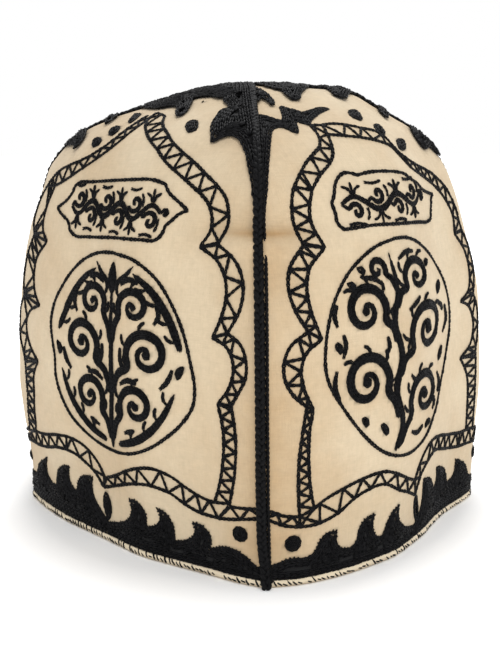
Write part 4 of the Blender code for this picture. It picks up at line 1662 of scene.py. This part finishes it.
def binding(material):
    """The rolled binding: a soft round hem that wraps the cloth's lower edge."""
    plan, outward = rim_line()
    count = len(plan)
    waves = np.arange(count) * BINDING_POINTS
    middle_height = BINDING_TOP / 2
    half_height = middle_height - 0.05
    half_width = CLOTH_THICKNESS / 2 + BINDING_PROUD
    swell = 1 + 0.05 * wander(71, waves, 0 * waves, 7) + 0.04 * wander(72, waves, 0 * waves, 31)
    centre = plan - outward * (CLOTH_THICKNESS / 2) + np.array([0, 0, middle_height])
    sides = BINDING_SIDES
    angle = np.linspace(0, 2 * np.pi, sides, endpoint=False)
    power = 0.8
    across = np.sign(np.cos(angle)) * np.abs(np.cos(angle)) ** power * half_width
    up = np.sign(np.sin(angle)) * np.abs(np.sin(angle)) ** power * half_height
    tall = 1 + 0.16 * wander(73, waves, 0 * waves, 60) + 0.05 * wander(74, waves, 0 * waves, 9)
    ring = centre[:, None] + outward[:, None] * (across[None, :] * swell[:, None])[..., None]
    raised = (up + half_height)[None, :] * tall[:, None] - half_height
    ring = ring + np.array([0, 0, 1.0]) * raised[..., None]
    faces = []
    for j in range(count):
        for i in range(sides):
            a, b = j * sides + i, j * sides + (i + 1) % sides
            c, d = (j + 1) % count * sides + (i + 1) % sides, (j + 1) % count * sides + i
            faces.append((d, c, b, a))
    return mesh_object("rolled_binding", ring.reshape(-1, 3) * MM, faces, material)


def whip_stitches(tree, thread):
    """The black stitches that hold the binding, leaning one way."""
    plan, outward = rim_line()
    middle = plan - outward * (CLOTH_THICKNESS / 2) + np.array([0, 0, BINDING_TOP / 2])
    closed = np.concatenate([middle, middle[:1]])
    facing = np.concatenate([outward, outward[:1]])
    made = lines_object("whip_stitches", [(closed, facing, np.full(len(closed), 1.0), 2.6)])
    values = {
        "Spacing": 1.8 * MM,
        "Roll radius": 1.80 * MM,
        "Thread radius": 0.38 * MM,
        "Start": math.radians(-20),
        "Sweep": math.radians(88),
        "Lean": math.radians(54),
        "Thread": thread,
        "Seed": 5,
    }
    return grown(made, tree, values)


def stage_piece(name, points, faces, material):
    made = mesh_object(name, points, faces, material, smooth=False)


def studio():
    """A white table that glows away from the cap as painted light, inside a white wall, under two soft
    lights.
    """
    paper, tree, shader = new_material("white_paper_glowing_away_from_cap", 1.0)
    shader.inputs["Base Color"].default_value = srgb("#FAFAFA")
    shader.inputs["Specular IOR Level"].default_value = 0.0
    shader.inputs["Emission Color"].default_value = (1.0, 1.0, 1.0, 1.0)
    place = add(tree, "ShaderNodeTexCoord")
    # Painted light: the floor glows more the farther it lies from the cap, so it is white beyond the cap's
    # shadow
    away = add(tree, "ShaderNodeVectorMath", {"operation": "LENGTH"}, {0: place.outputs["Object"]})
    lift = add(
        tree,
        "ShaderNodeMapRange",
        None,
        {"Value": away.outputs["Value"], "From Min": 0.09, "From Max": 0.15, "To Max": 0.6},
    )
    tree.links.new(lift.outputs[0], shader.inputs["Emission Strength"])
    glow, tree, shader = new_material("lit_white_backdrop", 1.0)
    shader.inputs["Base Color"].default_value = (0.0, 0.0, 0.0, 1.0)
    shader.inputs["Specular IOR Level"].default_value = 0.0
    shader.inputs["Emission Color"].default_value = (1.0, 1.0, 1.0, 1.0)
    shader.inputs["Emission Strength"].default_value = 1.0
    count, reach, rise = 48, 4.0, 1.6
    turns = [2 * math.pi * index / count for index in range(count)]
    foot = [(reach * math.cos(turn), reach * math.sin(turn), 0.0) for turn in turns]
    head = [(x, y, rise) for x, y, _ in foot]
    wall = [((i + 1) % count, i, i + count, (i + 1) % count + count) for i in range(count)]
    stage_piece("floor", foot, [tuple(range(count))], paper)
    stage_piece("backdrop", foot + head, wall, glow)
    world = bpy.data.worlds.new("white_studio")
    bpy.context.scene.world = world
    world.use_nodes = True
    background = world.node_tree.nodes["Background"]
    background.inputs["Color"].default_value = (1.0, 1.0, 1.0, 1.0)
    background.inputs["Strength"].default_value = 0.60
    area_light("key", (0.26, -0.90, 1.15), (0.0, 0.0, 0.08), 0.8, 7.9)
    area_light("top", (0.10, 0.55, 1.20), (0.0, 0.0, 0.0), 0.9, 8.0)
    bpy.context.scene.view_settings.view_transform = "Standard"


def area_light(name, place, aim, size, power):
    """A round soft light, in metres and watts."""
    light = bpy.data.lights.new(name, "AREA")
    light.shape = "DISK"
    light.size = size
    light.energy = power
    made = bpy.data.objects.new(name, light)
    bpy.context.scene.collection.objects.link(made)
    made.location = place
    made.rotation_euler = (Vector(aim) - Vector(place)).to_track_quat("-Z", "Y").to_euler()


# The photograph's frame and the camera's place to it, in pixels, degrees and millimetres
FRAME_HEIGHT = 667
FOCAL_PIXELS = 1073.64
CAMERA_PITCH = 11.584
CAMERA_ROLL = -0.263
CAMERA_PLACE = (-0.34, AXIS_Y - 450.0, 164.55)


def camera():
    lens = bpy.data.cameras.new("camera")
    lens.sensor_width = 36.0
    lens.lens = FOCAL_PIXELS / FRAME_HEIGHT * lens.sensor_width
    lens.clip_start = 0.01
    made = bpy.data.objects.new("camera", lens)
    bpy.context.scene.collection.objects.link(made)
    tilt = Matrix.Rotation(math.radians(90.0 - CAMERA_PITCH), 4, "X")
    roll = Matrix.Rotation(math.radians(CAMERA_ROLL), 4, "Z")
    made.matrix_world = Matrix.Translation(Vector(CAMERA_PLACE) * MM) @ tilt @ roll
    bpy.context.scene.camera = made


def main():
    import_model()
    cotton = cotton_cloth()
    chain = thread_black("black_stranded_cotton", 0.35, "#020203")
    cord = thread_black("black_plaited_cotton", 0.45, "#030304")
    tree = stitch_tree()
    charts = {
        "front_left": (
            LEFT_LADDERS,
            LEFT_FILLS,
            LEFT_DOTS,
            LEFT_OVAL,
            LEFT_CARTOUCHE,
            (fountain, 56.4, 77.6),
            (52.6, 131.2, 51, 17.0, 3, 1.5),
        ),
        "front_right": (
            RIGHT_LADDERS,
            RIGHT_FILLS,
            RIGHT_DOTS,
            RIGHT_OVAL,
            RIGHT_CARTOUCHE,
            (rinceau, 37.6, 80.0),
            (40.6, 134.8, 47, 15.0, 2, 2.4),
        ),
    }
    charts["back_right"] = charts["front_left"]
    charts["back_left"] = charts["front_right"]
    for number, (name, chart) in enumerate(charts.items()):
        gore = Gore(name, 100 + 10 * number)
        stitching = panel(gore, *chart)
        cloth = cloth_gore(gore, stitching, cotton)
        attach(cloth, "root")
        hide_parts("gore_" + name)
        stitches = embroidery(gore, stitching, tree, chain, 7 + number)
        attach(stitches, "root")
    front, back = seam_path("front"), seam_path("back")
    over = [np.concatenate([front[part], back[part][::-1][1:]]) for part in (0, 1)]
    over = [drifted(*over, FRONT_DRIFT), over[1]]
    braids = (
        ("plaited_braid_front_back", over, "seam_braid_front_back"),
        ("plaited_braid_right", seam_path("right"), "seam_braid_right"),
        ("plaited_braid_left", seam_path("left"), "seam_braid_left"),
    )
    for number, (name, (places, normals), node) in enumerate(braids):
        made = plait(name, places, normals, cord, 40 + 20 * number)
        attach(made, "root")
        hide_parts(node)
    thin = front_cord(*front, cord)
    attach(thin, "root")
    hem = binding(binding_cotton())
    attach(hem, "root")
    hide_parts("rim_binding")
    whips = whip_stitches(whip_tree(), chain)
    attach(whips, "root")
    studio()
    camera()


main()
